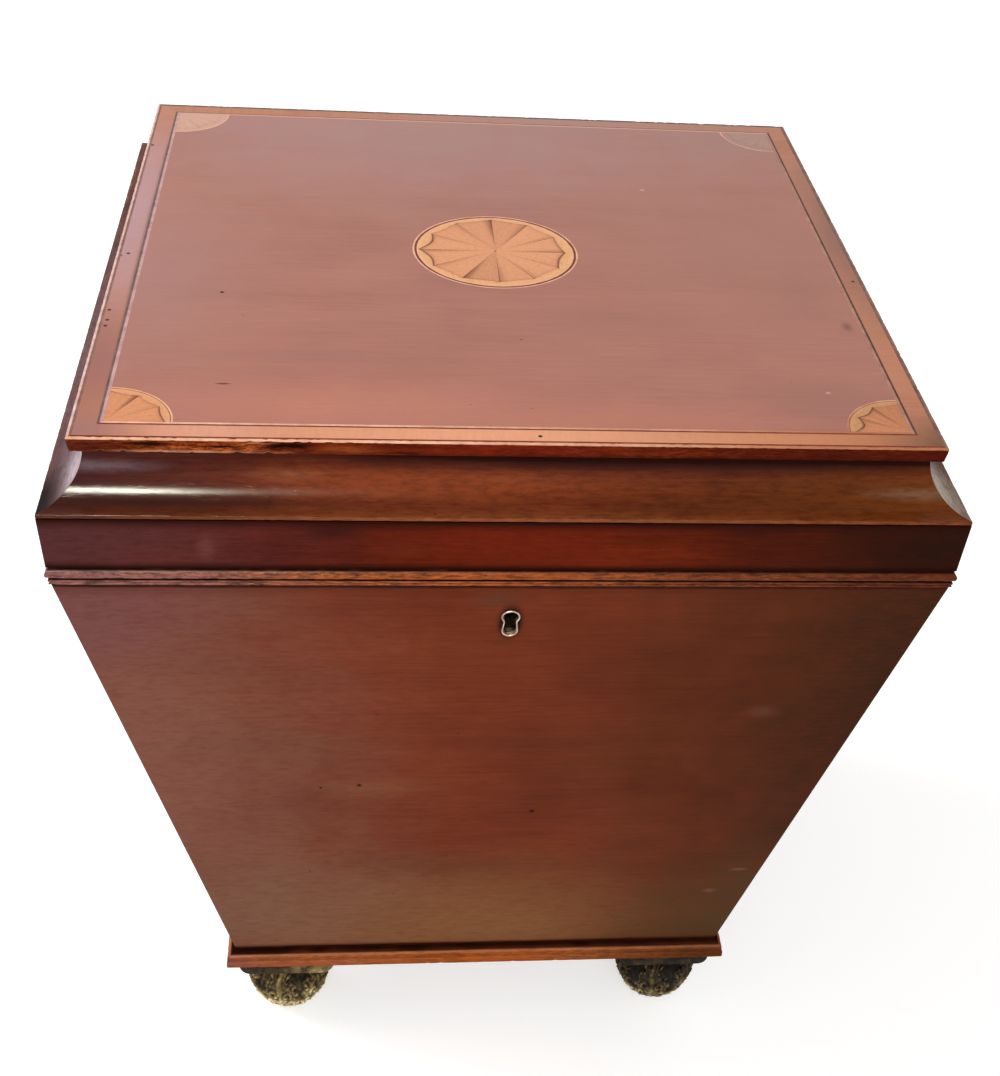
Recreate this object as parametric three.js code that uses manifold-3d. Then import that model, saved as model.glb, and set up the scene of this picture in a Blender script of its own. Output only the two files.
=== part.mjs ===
// A square bottle box: a tapered mahogany body on four cast feet, with a hinged sarcophagus lid.
// Millimetres, +Z up. The origin is on the floor, under the middle of the whole object.
import * as THREE from "three";
import { mergeVertices } from "three/addons/utils/BufferGeometryUtils.js";
import Module from "manifold-3d";

const wasm = await Module();
wasm.setup();

// Clearances and finish of every cut
const mitreGap = 0.15;
const fitGap = 0.3;
const overrun = 4;
const curveSteps = 6;
const cornerSteps = 3;
const footSteps = 20;
const footCurveSteps = 5;

// Tapered body: four mitred boards on a flat bottom
const bodyTopHalf = 240;
const bodyDrawIn = 75;
const bodyHeight = 362;
const boardThickness = 17;

// Base moulding, planted round the bottom board and carrying the boards' lower edges
const baseHeight = 12.3;
const baseProjection = 6;
const baseSeat = 7;
const baseFaceHeight = 4.8;
const baseStep = 0.9;
const baseCove = 2.9;

// Bead capping the top edge of the body
const rimHeight = 3.6;
const rimProjection = 1.2;

// Lid: bead, frieze, hollow moulding, top board and its veneers. The frieze stands out past the body and
// flares, the hollow draws in from it, and the top board overhangs the hollow.
const lidGap = 0.4;
const lidBeadHeight = 6.9;
const lidBeadRound = 4.8;
const lidBeadProjection = 1;
const lidQuirk = 0.4;
const friezeHeight = 32.1;
const friezeProjection = 1.4;
const friezeFlare = 1.6;
const cavettoHeight = 29;
const cavettoDrawIn = 22.3;
const cavettoFillet = 2;
const cavettoWall = 16.7;
const topBoardOverhang = 6.5;
const topBoardThickness = 7.8;
const topBoardUndercut = 1;
const veneerThickness = 0.9;

// Inlay in the top
const crossbandWidth = 14.8;
const stringWidth = 1.8;
const pateraRadius = 51;
const fanRadius = 35.5;

// Cast feet: a square flange with rounded corners over a bun
const footHeight = 64;
const footPlateSize = 65;
const footPlateThickness = 10.5;
const footPlateCorner = 9;
const footPlateRound = 2.5;
const footSideInset = 7;
const footFrontInset = 3;
const footBunRadius = 28.8;
const footBunCentre = 23;
const footFlatRadius = 13;
const footNeckRadius = 20;
const footNeckLevel = 44;
const footNeckFlare = 6;

// Lead lining and the crossed boards that make nine bottle cells
const liningWall = 1.8;
const liningDrop = 24;
const dividerThickness = 6;
const dividerHeight = 220;
const cellsPerSide = 3;

// Hinges: two brass butts with three knuckles, let into the rim and the lid
const hingeSpacing = 280;
const hingeLength = 48;
const hingeReach = 15;
const hingeStandOff = 1.5;
const leafThickness = 1.5;
const knuckleRadius = 3.2;
const knuckleCount = 3;
const pinRadius = 1.4;
const pinHeadRadius = 2.3;
const pinHeadLength = 1.2;
const knuckleSteps = 16;

// Lock, set in the front board in a frame that leans with it: x along the board, y inwards, z up the slope
const lockCaseWidth = 60;
const lockCaseThickness = 10;
const lockCaseDepth = 42;
const lockInset = 0.5;
const lockEndWall = 3.2;
const selvedgeOverlap = 3;
const selvedgeReach = 11.7;
const keyPocketDepth = 7.5;

// Link plate on the lid, with two staples that the bolt runs through
const linkPlateInset = 1;
const linkPlateThickness = 1.6;
const stapleThickness = 2.4;
const stapleWidth = 6.4;
const stapleDrop = 11.5;
const stapleHoleWidth = 4;
const stapleHoleHeight = 4.4;
const stapleTip = 1.6;
const staplePlay = 0.6;

// Bolt: a flat comb whose two fingers shoot sideways
const boltThickness = 2.8;
const boltFingerHeight = 2.8;
const boltFingerLength = 7;
const boltUprightWidth = 4;
const boltBarHeight = 3.5;
const boltTravel = 6;
const talonWidth = 6;
const talonDepth = 1.4;

// Keyhole and the thread escutcheon that lines it
const keyholeDrop = 22.65;
const keyholeHeadRadius = 4.25;
const keyholeWaistHalf = 3;
const keyholeWaistDrop = 4.45;
const keyholeFootHalf = 3.65;
const keyholeFootDrop = 11.05;
const keyholeFootRound = 3.9;
const keyholeHeadShare = 0.22;
const escutcheonRim = 1;
const escutcheonDepth = 2.5;
const escutcheonStand = 0.3;

// Levels, from the floor up
const baseBottom = footHeight;
const bodyBottom = baseBottom + baseHeight;
const bodyTop = bodyBottom + bodyHeight;
const rimTop = bodyTop + rimHeight;
const lidBottom = rimTop + lidGap;
const lidBeadTop = lidBottom + lidBeadHeight;
const friezeTop = lidBeadTop + friezeHeight;
const cavettoTop = friezeTop + cavettoHeight;
const topBoardTop = cavettoTop + topBoardThickness;
const lidTop = topBoardTop + veneerThickness;

// Shared places
const bodyBottomHalf = bodyTopHalf - bodyDrawIn;
const taper = bodyDrawIn / bodyHeight;
const slope = Math.atan(taper);
const rimInnerHalf = bodyTopHalf - boardThickness;
const bottomBoardHalf = bodyBottomHalf - baseSeat;
const friezeBottomHalf = bodyTopHalf + friezeProjection;
const lidWidestHalf = friezeBottomHalf + friezeFlare;
const cavettoTopHalf = lidWidestHalf - cavettoDrawIn;
const cavettoInnerHalf = cavettoTopHalf - cavettoWall;
const topBoardHalf = cavettoTopHalf + topBoardOverhang;
const hingeAxisY = lidWidestHalf + hingeStandOff;
const hingeAxisZ = rimTop + lidGap / 2;
const hingeX = hingeSpacing / 2;
const bandInnerHalf = topBoardHalf - crossbandWidth;
const fieldHalf = bandInnerHalf - stringWidth;

// Materials, in the colours of the finished object
function finish(color, roughness, metalness) {
  return new THREE.MeshStandardMaterial({ color, roughness, metalness });
}

const mahogany = finish("#6b2f1d", 0.35, 0);
const topMahogany = finish("#8d5244", 0.35, 0);
const crossbandWood = finish("#b5703f", 0.35, 0);
const satinwood = finish("#dd9f63", 0.35, 0);
const plainMahogany = finish("#7d4a30", 0.6, 0);
const castBrass = finish("#8d774c", 0.45, 0.9);
const brass = finish("#c2a468", 0.35, 0.9);
const steel = finish("#6d6a66", 0.45, 0.9);
const lead = finish("#7e8186", 0.6, 0.6);

// Each named mesh goes to the body or to the lid, and the bolt to a group of its own.
const cellarette = new THREE.Group();
const body = new THREE.Group();
const lid = new THREE.Group();
const bolt = new THREE.Group();
cellarette.add(body, lid, bolt);

function place(group, name, geometry, material, turn = 0) {
  const mesh = new THREE.Mesh(geometry, material);
  mesh.name = name;
  mesh.rotation.z = turn;
  group.add(mesh);
}

// A closed geometry as a solid that can be joined and cut, and back again
function toSolid(geometry) {
  const bare = geometry.index ? geometry.toNonIndexed() : geometry.clone();
  bare.deleteAttribute("normal");
  bare.deleteAttribute("uv");
  const merged = mergeVertices(bare);
  const vertProperties = merged.attributes.position.array;
  const triVerts = new Uint32Array(merged.index.array);
  return new wasm.Manifold(new wasm.Mesh({ numProp: 3, vertProperties, triVerts }));
}

function toGeometry(solid) {
  const mesh = solid.getMesh();
  const geometry = new THREE.BufferGeometry();
  geometry.setAttribute("position", new THREE.BufferAttribute(mesh.vertProperties, 3));
  geometry.setIndex(new THREE.BufferAttribute(mesh.triVerts, 1));
  return geometry;
}

function cut(geometry, cutters) {
  let solid = toSolid(geometry);
  for (const cutter of cutters) {
    solid = solid.subtract(toSolid(cutter));
  }
  return toGeometry(solid);
}

function join(geometry, others) {
  let solid = toSolid(geometry);
  for (const other of others) {
    solid = solid.add(toSolid(other));
  }
  return toGeometry(solid);
}

// A block between two corners, with its faces exactly where they are asked for
function block([lowX, highX], [lowY, highY], [lowZ, highZ]) {
  const shape = new THREE.BoxGeometry();
  const corner = shape.getAttribute("position");
  for (let i = 0; i < corner.count; i++) {
    const x = corner.getX(i) < 0 ? lowX : highX;
    const y = corner.getY(i) < 0 ? lowY : highY;
    const z = corner.getZ(i) < 0 ? lowZ : highZ;
    corner.setXYZ(i, x, y, z);
  }
  return shape;
}

function centred(half) {
  return [-half, half];
}

// A flat plate: an outline seen from above, between two levels
function plate(outline, low, high) {
  const settings = { depth: 1, bevelEnabled: false, curveSegments: curveSteps };
  const shape = new THREE.ExtrudeGeometry(outline, settings);
  const corner = shape.getAttribute("position");
  for (let i = 0; i < corner.count; i++) {
    corner.setZ(i, corner.getZ(i) > 0 ? high : low);
  }
  return shape;
}

// A board standing across the object: an outline seen from the front, between two depths
function upright(outline, front, back) {
  const shape = plate(outline, -back, -front);
  return shape.rotateX(Math.PI / 2);
}

// A round bar along X
function bar(radius, [lowX, highX], y, z) {
  const shape = new THREE.CylinderGeometry(radius, radius, highX - lowX, knuckleSteps);
  shape.rotateZ(Math.PI / 2);
  return shape.translate((lowX + highX) / 2, y, z);
}

// A square block whose sides lean, from one half width at the bottom to another at the top
function leaningBlock(bottomHalf, topHalf, low, high) {
  const shape = block(centred(1), centred(1), [low, high]);
  const corner = shape.getAttribute("position");
  for (let i = 0; i < corner.count; i++) {
    const half = corner.getZ(i) > (low + high) / 2 ? topHalf : bottomHalf;
    corner.setX(i, corner.getX(i) * half);
    corner.setY(i, corner.getY(i) * half);
  }
  return shape;
}

// One side of a mitred square frame, as the front one. The profile's x is its distance out from the
// middle and its y its level. Each end stops short of the mitre by the mitre gap.
function mitredRun(profile) {
  const settings = { depth: 1, bevelEnabled: false, curveSegments: curveSteps };
  const shape = new THREE.ExtrudeGeometry(profile, settings);
  const corner = shape.getAttribute("position");
  for (let i = 0; i < corner.count; i++) {
    const out = corner.getX(i);
    const level = corner.getY(i);
    const side = corner.getZ(i) > 0 ? -1 : 1;
    corner.setXYZ(i, side * (out - mitreGap), -out, level);
  }
  return shape;
}

const outline = (points) => new THREE.Shape(points.map(([x, y]) => new THREE.Vector2(x, y)));

// The four sides, and the turn that takes the front one to each
const quarterTurn = Math.PI / 2;
const sides = ["front", "right", "back", "left"];
const turnOf = (side) => sides.indexOf(side) * quarterTurn;

// How far out the inner face of the boards is at a level
const boardInnerHalf = (level) => bodyBottomHalf - boardThickness + taper * (level - bodyBottom);

// The lock's leaning frame, whose origin is the inner top edge of the front board
function lean(geometry) {
  geometry.rotateX(slope);
  return geometry.translate(0, -rimInnerHalf, bodyTop);
}

// The keyhole's outline, seen from the front; grown, it is the outer edge of its brass lining.
function keyholeOutline(grown) {
  const head = keyholeHeadRadius + grown;
  const waist = keyholeWaistHalf + grown;
  const foot = keyholeFootHalf + grown;
  const headStart = -keyholeHeadShare * Math.PI;
  const shape = new THREE.Shape();
  shape.absarc(0, -keyholeDrop, head, headStart, Math.PI - headStart, false);
  shape.lineTo(-waist, -keyholeDrop - keyholeWaistDrop);
  shape.lineTo(-foot, -keyholeDrop - keyholeFootDrop);
  const footRound = keyholeFootRound + grown;
  shape.absellipse(0, -keyholeDrop - keyholeFootDrop, foot, footRound, Math.PI, 2 * Math.PI, false);
  shape.lineTo(waist, -keyholeDrop - keyholeWaistDrop);
  return shape;
}

const boardFace = -boardThickness * Math.cos(slope);
const keyhole = (grown, front, back) => lean(upright(keyholeOutline(grown), front, back));

// Lock case, and the selvedge that closes its top
const selvedgeWidth = lockCaseWidth + 2 * selvedgeOverlap;
const caseHigh = lockCaseThickness * Math.tan(slope) + lockInset;
const caseBack = -lockInset;
const caseFront = caseBack - lockCaseThickness;
const selvedgeBack = -rimInnerHalf - fitGap;
const selvedgeFront = selvedgeBack - selvedgeReach;

// Bolt in the lock's frame: drawn back, it lies against the case's end wall, and each finger points at a
// staple and meets it at the middle of its hole
const boltLow = lockEndWall - lockCaseWidth / 2;
const firstStapleX = boltLow + boltUprightWidth + boltFingerLength + staplePlay + stapleThickness / 2;
const stapleXs = [firstStapleX, -firstStapleX];
const boltMiddle = (caseFront + caseBack) / 2;
const stapleHoleLevel = lidBottom - stapleDrop + stapleTip + stapleHoleHeight / 2;
const fingerMiddle = (stapleHoleLevel - bodyTop - boltMiddle * Math.sin(slope)) / Math.cos(slope);
const stapleY = -rimInnerHalf + boltMiddle * Math.cos(slope) - fingerMiddle * Math.sin(slope);
const stapleBottom = lidBottom - stapleDrop;
const stapleReachDown = (bodyTop - stapleBottom) / Math.cos(slope) + boltMiddle * taper;
const barTop = -stapleReachDown - boltThickness * taper - fitGap;
const barBottom = barTop - boltBarHeight;
const fingerTop = fingerMiddle + boltFingerHeight / 2;
const fingerBottom = fingerMiddle - boltFingerHeight / 2;
const tipOf = (stapleX) => stapleX - stapleThickness / 2 - staplePlay;
const boltHigh = tipOf(stapleXs[1]);

function boltShape() {
  const points = [
    [boltLow, barBottom],
    [-talonWidth / 2, barBottom],
    [0, barBottom + talonDepth],
    [talonWidth / 2, barBottom],
    [boltHigh, barBottom],
    [boltHigh, barTop],
  ];
  for (const stapleX of [...stapleXs].reverse()) {
    const tip = tipOf(stapleX);
    const inner = tip - boltFingerLength;
    points.push([inner, barTop], [inner, fingerBottom], [tip, fingerBottom]);
    points.push([tip, fingerTop], [inner - boltUprightWidth, fingerTop]);
    if (stapleX > 0) {
      points.push([inner - boltUprightWidth, barTop]);
    }
  }
  return lean(upright(outline(points), boltMiddle - boltThickness / 2, boltMiddle + boltThickness / 2));
}

function stapleSlots() {
  const reach = centred(stapleWidth / 2 + fitGap).map((y) => stapleY + y);
  const halfWidth = stapleThickness / 2 + staplePlay;
  const levels = [stapleBottom - staplePlay, lidBottom + overrun];
  return stapleXs.map((x) => block([x - halfWidth, x + halfWidth], reach, levels));
}

function lockCase() {
  const housing = lean(block(centred(lockCaseWidth / 2), [caseFront, caseBack], [-lockCaseDepth, caseHigh]));
  const rim = block(centred(selvedgeWidth / 2), [selvedgeFront, selvedgeBack], [bodyTop, rimTop]);
  const across = [boltMiddle - boltThickness / 2 - fitGap, boltMiddle + boltThickness / 2 + fitGap];
  const along = [boltLow - fitGap, boltHigh + boltTravel + fitGap];
  const boltRoom = lean(block(along, across, [barBottom - fitGap, fingerTop + fitGap]));
  const keyRoom = keyhole(0, caseFront - overrun, caseFront + keyPocketDepth);
  return cut(join(housing, [rim]), [boltRoom, ...stapleSlots(), keyRoom]);
}

// Body boards: the front one is cut for the lock and its key
const boardProfile = outline([
  [bodyBottomHalf - boardThickness, bodyBottom],
  [bodyBottomHalf, bodyBottom],
  [bodyTopHalf, bodyTop],
  [bodyTopHalf - boardThickness, bodyTop],
]);

function lockMortise() {
  const half = lockCaseWidth / 2 + fitGap;
  const depth = [caseFront - fitGap, overrun];
  return lean(block(centred(half), depth, [-lockCaseDepth - fitGap, caseHigh + overrun]));
}

function addBoards() {
  for (const side of sides) {
    let board = mitredRun(boardProfile);
    if (side === "front") {
      const liningEnd = boardFace + escutcheonDepth + fitGap;
      const lining = keyhole(escutcheonRim + fitGap, boardFace - overrun, liningEnd);
      const keyWay = keyhole(0, boardFace - overrun, caseFront);
      board = cut(board, [lockMortise(), lining, keyWay]);
    }
    place(body, side + "_panel", board, mahogany, turnOf(side));
  }
}

// Base: a flat bottom board with a moulding planted round it
function addBase() {
  const board = block(centred(bottomBoardHalf), centred(bottomBoardHalf), [baseBottom, bodyBottom]);
  place(body, "bottom_board", board, plainMahogany);
  const face = bodyBottomHalf + baseProjection;
  const upperFace = face - baseStep;
  const profile = outline([
    [bottomBoardHalf, baseBottom],
    [face, baseBottom],
    [face, baseBottom + baseFaceHeight],
    [upperFace, baseBottom + baseFaceHeight + baseStep],
    [upperFace, bodyBottom - baseCove],
  ]);
  profile.absarc(upperFace, bodyBottom, baseCove, -Math.PI / 2, -Math.PI, true);
  profile.lineTo(bottomBoardHalf, bodyBottom);
  for (const side of sides) {
    place(body, "base_moulding_" + side, mitredRun(profile), mahogany, turnOf(side));
  }
}

// Hinge pieces at one place along X. Both leaves share the pin's axis.
const knuckleLength = hingeLength / knuckleCount;
const knuckleStart = (index) => (index - knuckleCount / 2) * knuckleLength;
const knuckleSpan = (index) => [knuckleStart(index), knuckleStart(index + 1)];
const shifted = ([low, high], by, grown) => [low + by - grown, high + by + grown];

function hingeLeaf(x, levels, parity) {
  const leafX = shifted(centred(hingeLength / 2), x, 0);
  const reach = [hingeAxisY - hingeReach, hingeAxisY];
  const knuckles = [];
  const clearances = [];
  for (let index = 0; index < knuckleCount; index++) {
    if (index % 2 === parity) {
      knuckles.push(bar(knuckleRadius, shifted(knuckleSpan(index), x, -fitGap / 2), hingeAxisY, hingeAxisZ));
    } else {
      const room = shifted(knuckleSpan(index), x, fitGap / 2);
      clearances.push(bar(knuckleRadius + fitGap, room, hingeAxisY, hingeAxisZ));
    }
  }
  const bore = bar(pinRadius + fitGap, shifted(leafX, 0, overrun), hingeAxisY, hingeAxisZ);
  const cleared = cut(block(leafX, reach, levels), clearances);
  return cut(join(cleared, knuckles), [bore]);
}

function hingePin(x) {
  const half = hingeLength / 2 + fitGap;
  const heads = [-1, 1].map((end) => {
    const ends = [half, half + pinHeadLength].map((reach) => x + end * reach);
    return bar(pinHeadRadius, ends.sort((a, b) => a - b), hingeAxisY, hingeAxisZ);
  });
  const shank = bar(pinRadius, shifted(centred(half), x, 0), hingeAxisY, hingeAxisZ);
  return join(shank, heads);
}

// Room for the hinges in a back run, which is modelled as a front one and then turned
function hingeRecesses(levels) {
  const rooms = [];
  for (const x of [-hingeX, hingeX]) {
    const leaf = shifted(centred(hingeLength / 2), x, fitGap);
    const pin = shifted(leaf, 0, pinHeadLength + fitGap);
    rooms.push(block(leaf, [-hingeAxisY, hingeReach - hingeAxisY + fitGap], levels));
    rooms.push(bar(knuckleRadius + fitGap, pin, -hingeAxisY, hingeAxisZ));
  }
  return rooms;
}

const bodyLeafLevels = [rimTop - leafThickness, rimTop];
const lidLeafLevels = [lidBottom, lidBottom + leafThickness];

function addHinges() {
  for (const [name, x] of [["left", -hingeX], ["right", hingeX]]) {
    place(body, "hinge_body_leaf_" + name, hingeLeaf(x, bodyLeafLevels, 0), brass);
    place(body, "hinge_pin_" + name, hingePin(x), steel);
    place(lid, "hinge_lid_leaf_" + name, hingeLeaf(x, lidLeafLevels, 1), brass);
  }
}

// Rim bead: a strip with a half-round nose on the boards' top edges
function addRimBeads() {
  const nose = rimHeight / 2;
  const noseMiddle = bodyTopHalf + rimProjection - nose;
  const profile = outline([[rimInnerHalf, bodyTop], [noseMiddle, bodyTop]]);
  profile.absarc(noseMiddle, bodyTop + nose, nose, -Math.PI / 2, Math.PI / 2, false);
  profile.lineTo(rimInnerHalf, rimTop);
  const selvedgeX = centred(selvedgeWidth / 2 + fitGap);
  const selvedgeY = [selvedgeFront - fitGap, overrun - rimInnerHalf];
  const selvedgeRoom = block(selvedgeX, selvedgeY, [bodyTop - overrun, rimTop + overrun]);
  const rooms = {
    front: [selvedgeRoom],
    back: hingeRecesses([rimTop - leafThickness, rimTop + overrun]),
  };
  for (const side of sides) {
    const run = mitredRun(profile);
    place(body, "rim_bead_" + side, side in rooms ? cut(run, rooms[side]) : run, mahogany, turnOf(side));
  }
}

// Feet: one casting each, flange and bun. The bun swells from its flat underside, draws in to a neck, and
// flares again to the flange.
function bunProfile(plateBottom) {
  const points = [new THREE.Vector2(0, 0), new THREE.Vector2(footFlatRadius, 0)];
  const sweep = (centre, level, width, height, start, end) => {
    for (let step = 1; step <= footCurveSteps; step++) {
      const turn = start + ((end - start) * step) / footCurveSteps;
      points.push(new THREE.Vector2(centre + width * Math.cos(turn), level + height * Math.sin(turn)));
    }
  };
  const flareCentre = footNeckRadius + footNeckFlare;
  const seat = plateBottom + footPlateRound;
  sweep(footFlatRadius, footBunCentre, footBunRadius - footFlatRadius, footBunCentre, -Math.PI / 2, 0);
  const drawn = footBunRadius - footNeckRadius;
  sweep(footNeckRadius, footBunCentre, drawn, footNeckLevel - footBunCentre, 0, Math.PI / 2);
  sweep(flareCentre, footNeckLevel, footNeckFlare, plateBottom - footNeckLevel, Math.PI, Math.PI / 2);
  points.push(new THREE.Vector2(flareCentre, seat), new THREE.Vector2(0, seat));
  return points;
}

function footCasting() {
  const half = footPlateSize / 2;
  const side = half - footPlateCorner;
  const flange = new THREE.Shape();
  [[side, side], [-side, side], [-side, -side], [side, -side]].forEach(([x, y], quarter) => {
    flange.absarc(x, y, footPlateCorner, quarter * quarterTurn, (quarter + 1) * quarterTurn, false);
  });
  const plateBottom = footHeight - footPlateThickness;
  const settings = {
    depth: footPlateThickness - 2 * footPlateRound,
    curveSegments: cornerSteps,
    bevelThickness: footPlateRound,
    bevelSize: footPlateRound,
    bevelOffset: -footPlateRound,
    bevelSegments: cornerSteps,
  };
  const rounded = new THREE.ExtrudeGeometry(flange, settings).translate(0, 0, plateBottom + footPlateRound);
  const crown = plate(flange, footHeight - footPlateThickness / 2, footHeight);
  const bun = new THREE.LatheGeometry(bunProfile(plateBottom), footSteps).rotateX(Math.PI / 2);
  return join(rounded, [crown, bun]);
}

function addFeet() {
  const face = bodyBottomHalf + baseProjection;
  const x = face - footSideInset - footPlateSize / 2;
  const y = face - footFrontInset - footPlateSize / 2;
  for (const [name, towardsX, towardsY] of [
    ["front_left", -1, -1],
    ["front_right", 1, -1],
    ["back_left", -1, 1],
    ["back_right", 1, 1],
  ]) {
    const foot = footCasting().translate(towardsX * x, towardsY * y, 0);
    place(body, "foot_" + name, foot, castBrass);
  }
}

// Lead lining: an open tub that follows the boards
const liningOuterHalf = (level) => boardInnerHalf(level) - fitGap;
const liningInnerHalf = (level) => liningOuterHalf(level) - liningWall;
const liningFloor = bodyBottom + liningWall;
const liningTop = bodyTop - liningDrop;

function addLining() {
  const outer = leaningBlock(liningOuterHalf(bodyBottom), liningOuterHalf(liningTop), bodyBottom, liningTop);
  const innerTop = liningTop + overrun;
  const inner = leaningBlock(liningInnerHalf(liningFloor), liningInnerHalf(innerTop), liningFloor, innerTop);
  place(body, "lead_lining", cut(outer, [inner]), lead);
}

// Bottle dividers: boards halved over each other, standing in the lining
function dividerOutline(halvedFromTop, places) {
  const top = liningFloor + dividerHeight;
  const middle = liningFloor + dividerHeight / 2;
  const half = (level) => liningInnerHalf(level) - fitGap;
  const slot = dividerThickness / 2 + fitGap;
  const slotEnd = halvedFromTop ? middle - fitGap / 2 : middle + fitGap / 2;
  const edge = halvedFromTop ? top : liningFloor;
  const notches = places.flatMap((x) => [
    [x - slot, edge],
    [x - slot, slotEnd],
    [x + slot, slotEnd],
    [x + slot, edge],
  ]);
  const bottom = [[-half(liningFloor), liningFloor], [half(liningFloor), liningFloor]];
  const topEdge = [[half(top), top], [-half(top), top]];
  if (halvedFromTop) {
    topEdge.splice(1, 0, ...notches.reverse());
  } else {
    bottom.splice(1, 0, ...notches);
  }
  return outline([...bottom, ...topEdge]);
}

function addDividers() {
  const clearWidth = 2 * (liningInnerHalf(liningFloor) - fitGap);
  const cell = (clearWidth - (cellsPerSide - 1) * dividerThickness) / cellsPerSide;
  const pitch = cell + dividerThickness;
  const places = [];
  for (let index = 1; index < cellsPerSide; index++) {
    places.push((index - cellsPerSide / 2) * pitch);
  }
  places.forEach((y, index) => {
    const across = upright(dividerOutline(true, places), y - dividerThickness / 2, y + dividerThickness / 2);
    place(body, "bottle_divider_across_" + (index + 1), across, plainMahogany);
    const along = upright(dividerOutline(false, places), y - dividerThickness / 2, y + dividerThickness / 2);
    place(body, "bottle_divider_along_" + (index + 1), along, plainMahogany, Math.PI / 2);
  });
}

// Lock, bolt and escutcheon
function addLock() {
  place(body, "lock_case", lockCase(), brass);
  place(bolt, "lock_bolt", boltShape(), steel);
  const outer = keyhole(escutcheonRim, boardFace - escutcheonStand, boardFace + escutcheonDepth);
  const inner = keyhole(0, boardFace - overrun, boardFace + overrun);
  place(body, "escutcheon", cut(outer, [inner]), brass);
}

// Link plate: let into the lid's underside, with a pierced staple at each finger of the bolt
const linkPlateHalf = lockCaseWidth / 2 - linkPlateInset;
const linkPlateReach = centred(stapleWidth / 2 + linkPlateThickness).map((y) => stapleY + y);

function addLinkPlate() {
  const levels = [lidBottom, lidBottom + linkPlateThickness];
  const backing = block(centred(linkPlateHalf), linkPlateReach, levels);
  const staples = [];
  const holes = [];
  for (const x of stapleXs) {
    const width = shifted(centred(stapleThickness / 2), x, 0);
    const reach = shifted(centred(stapleWidth / 2), stapleY, 0);
    const holeReach = shifted(centred(stapleHoleWidth / 2), stapleY, 0);
    const holeLevels = shifted(centred(stapleHoleHeight / 2), stapleHoleLevel, 0);
    staples.push(block(width, reach, [stapleBottom, levels[1]]));
    holes.push(block(shifted(width, 0, overrun), holeReach, holeLevels));
  }
  place(lid, "lock_link_plate", cut(join(backing, staples), holes), brass);
}

// Lid bead: a round with a quirk and fillet above it, carrying the lid's hinge leaves and the link plate
function addLidBeads() {
  const nose = lidBeadRound / 2;
  const noseMiddle = friezeBottomHalf + lidBeadProjection - nose;
  const profile = outline([[rimInnerHalf, lidBottom], [noseMiddle, lidBottom]]);
  profile.absarc(noseMiddle, lidBottom + nose, nose, -Math.PI / 2, Math.PI / 2, false);
  profile.lineTo(friezeBottomHalf - lidQuirk, lidBottom + lidBeadRound);
  profile.lineTo(friezeBottomHalf - lidQuirk, lidBeadTop);
  profile.lineTo(rimInnerHalf, lidBeadTop);
  const plateX = centred(linkPlateHalf + fitGap);
  const plateY = shifted(linkPlateReach, 0, fitGap);
  const rooms = {
    front: [block(plateX, plateY, [lidBottom - overrun, lidBottom + linkPlateThickness])],
    back: hingeRecesses([lidBottom - overrun, lidBottom + leafThickness]),
  };
  for (const side of sides) {
    const run = mitredRun(profile);
    place(lid, "lid_bead_" + side, side in rooms ? cut(run, rooms[side]) : run, mahogany, turnOf(side));
  }
}

// Frieze boards and the hollow moulding above them
function addLidSides() {
  const friezeProfile = outline([
    [rimInnerHalf, lidBeadTop],
    [friezeBottomHalf, lidBeadTop],
    [lidWidestHalf, friezeTop],
    [rimInnerHalf, friezeTop],
  ]);
  const hollowHeight = cavettoHeight - cavettoFillet;
  const hollow = outline([
    [cavettoInnerHalf, friezeTop],
    [lidWidestHalf, friezeTop],
    [lidWidestHalf, friezeTop + cavettoFillet],
  ]);
  hollow.absellipse(lidWidestHalf, cavettoTop, cavettoDrawIn, hollowHeight, -Math.PI / 2, -Math.PI, true);
  hollow.lineTo(cavettoInnerHalf, cavettoTop);
  for (const side of sides) {
    place(lid, "lid_frieze_" + side, mitredRun(friezeProfile), mahogany, turnOf(side));
    place(lid, "lid_cavetto_" + side, mitredRun(hollow), mahogany, turnOf(side));
  }
}

// Top board and the veneers laid on it
const square = (half) => outline([[-half, -half], [half, -half], [half, half], [-half, half]]);

function circle(radius) {
  const shape = new THREE.Shape();
  sides.forEach((side, quarter) => {
    shape.absarc(0, 0, radius, quarter * quarterTurn, (quarter + 1) * quarterTurn, false);
  });
  return shape;
}

function fieldOutline() {
  const shape = new THREE.Shape();
  const fan = fanRadius + fitGap;
  [[1, -1], [1, 1], [-1, 1], [-1, -1]].forEach(([towardsX, towardsY], quarter) => {
    const start = (quarter + 2) * quarterTurn;
    shape.absarc(towardsX * fieldHalf, towardsY * fieldHalf, fan, start, start - quarterTurn, true);
  });
  shape.holes.push(circle(pateraRadius + fitGap));
  return shape;
}

function fanOutline() {
  const shape = outline([[-fieldHalf, -fieldHalf], [fanRadius - fieldHalf, -fieldHalf]]);
  shape.absarc(-fieldHalf, -fieldHalf, fanRadius, 0, Math.PI / 2, false);
  return shape;
}

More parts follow.
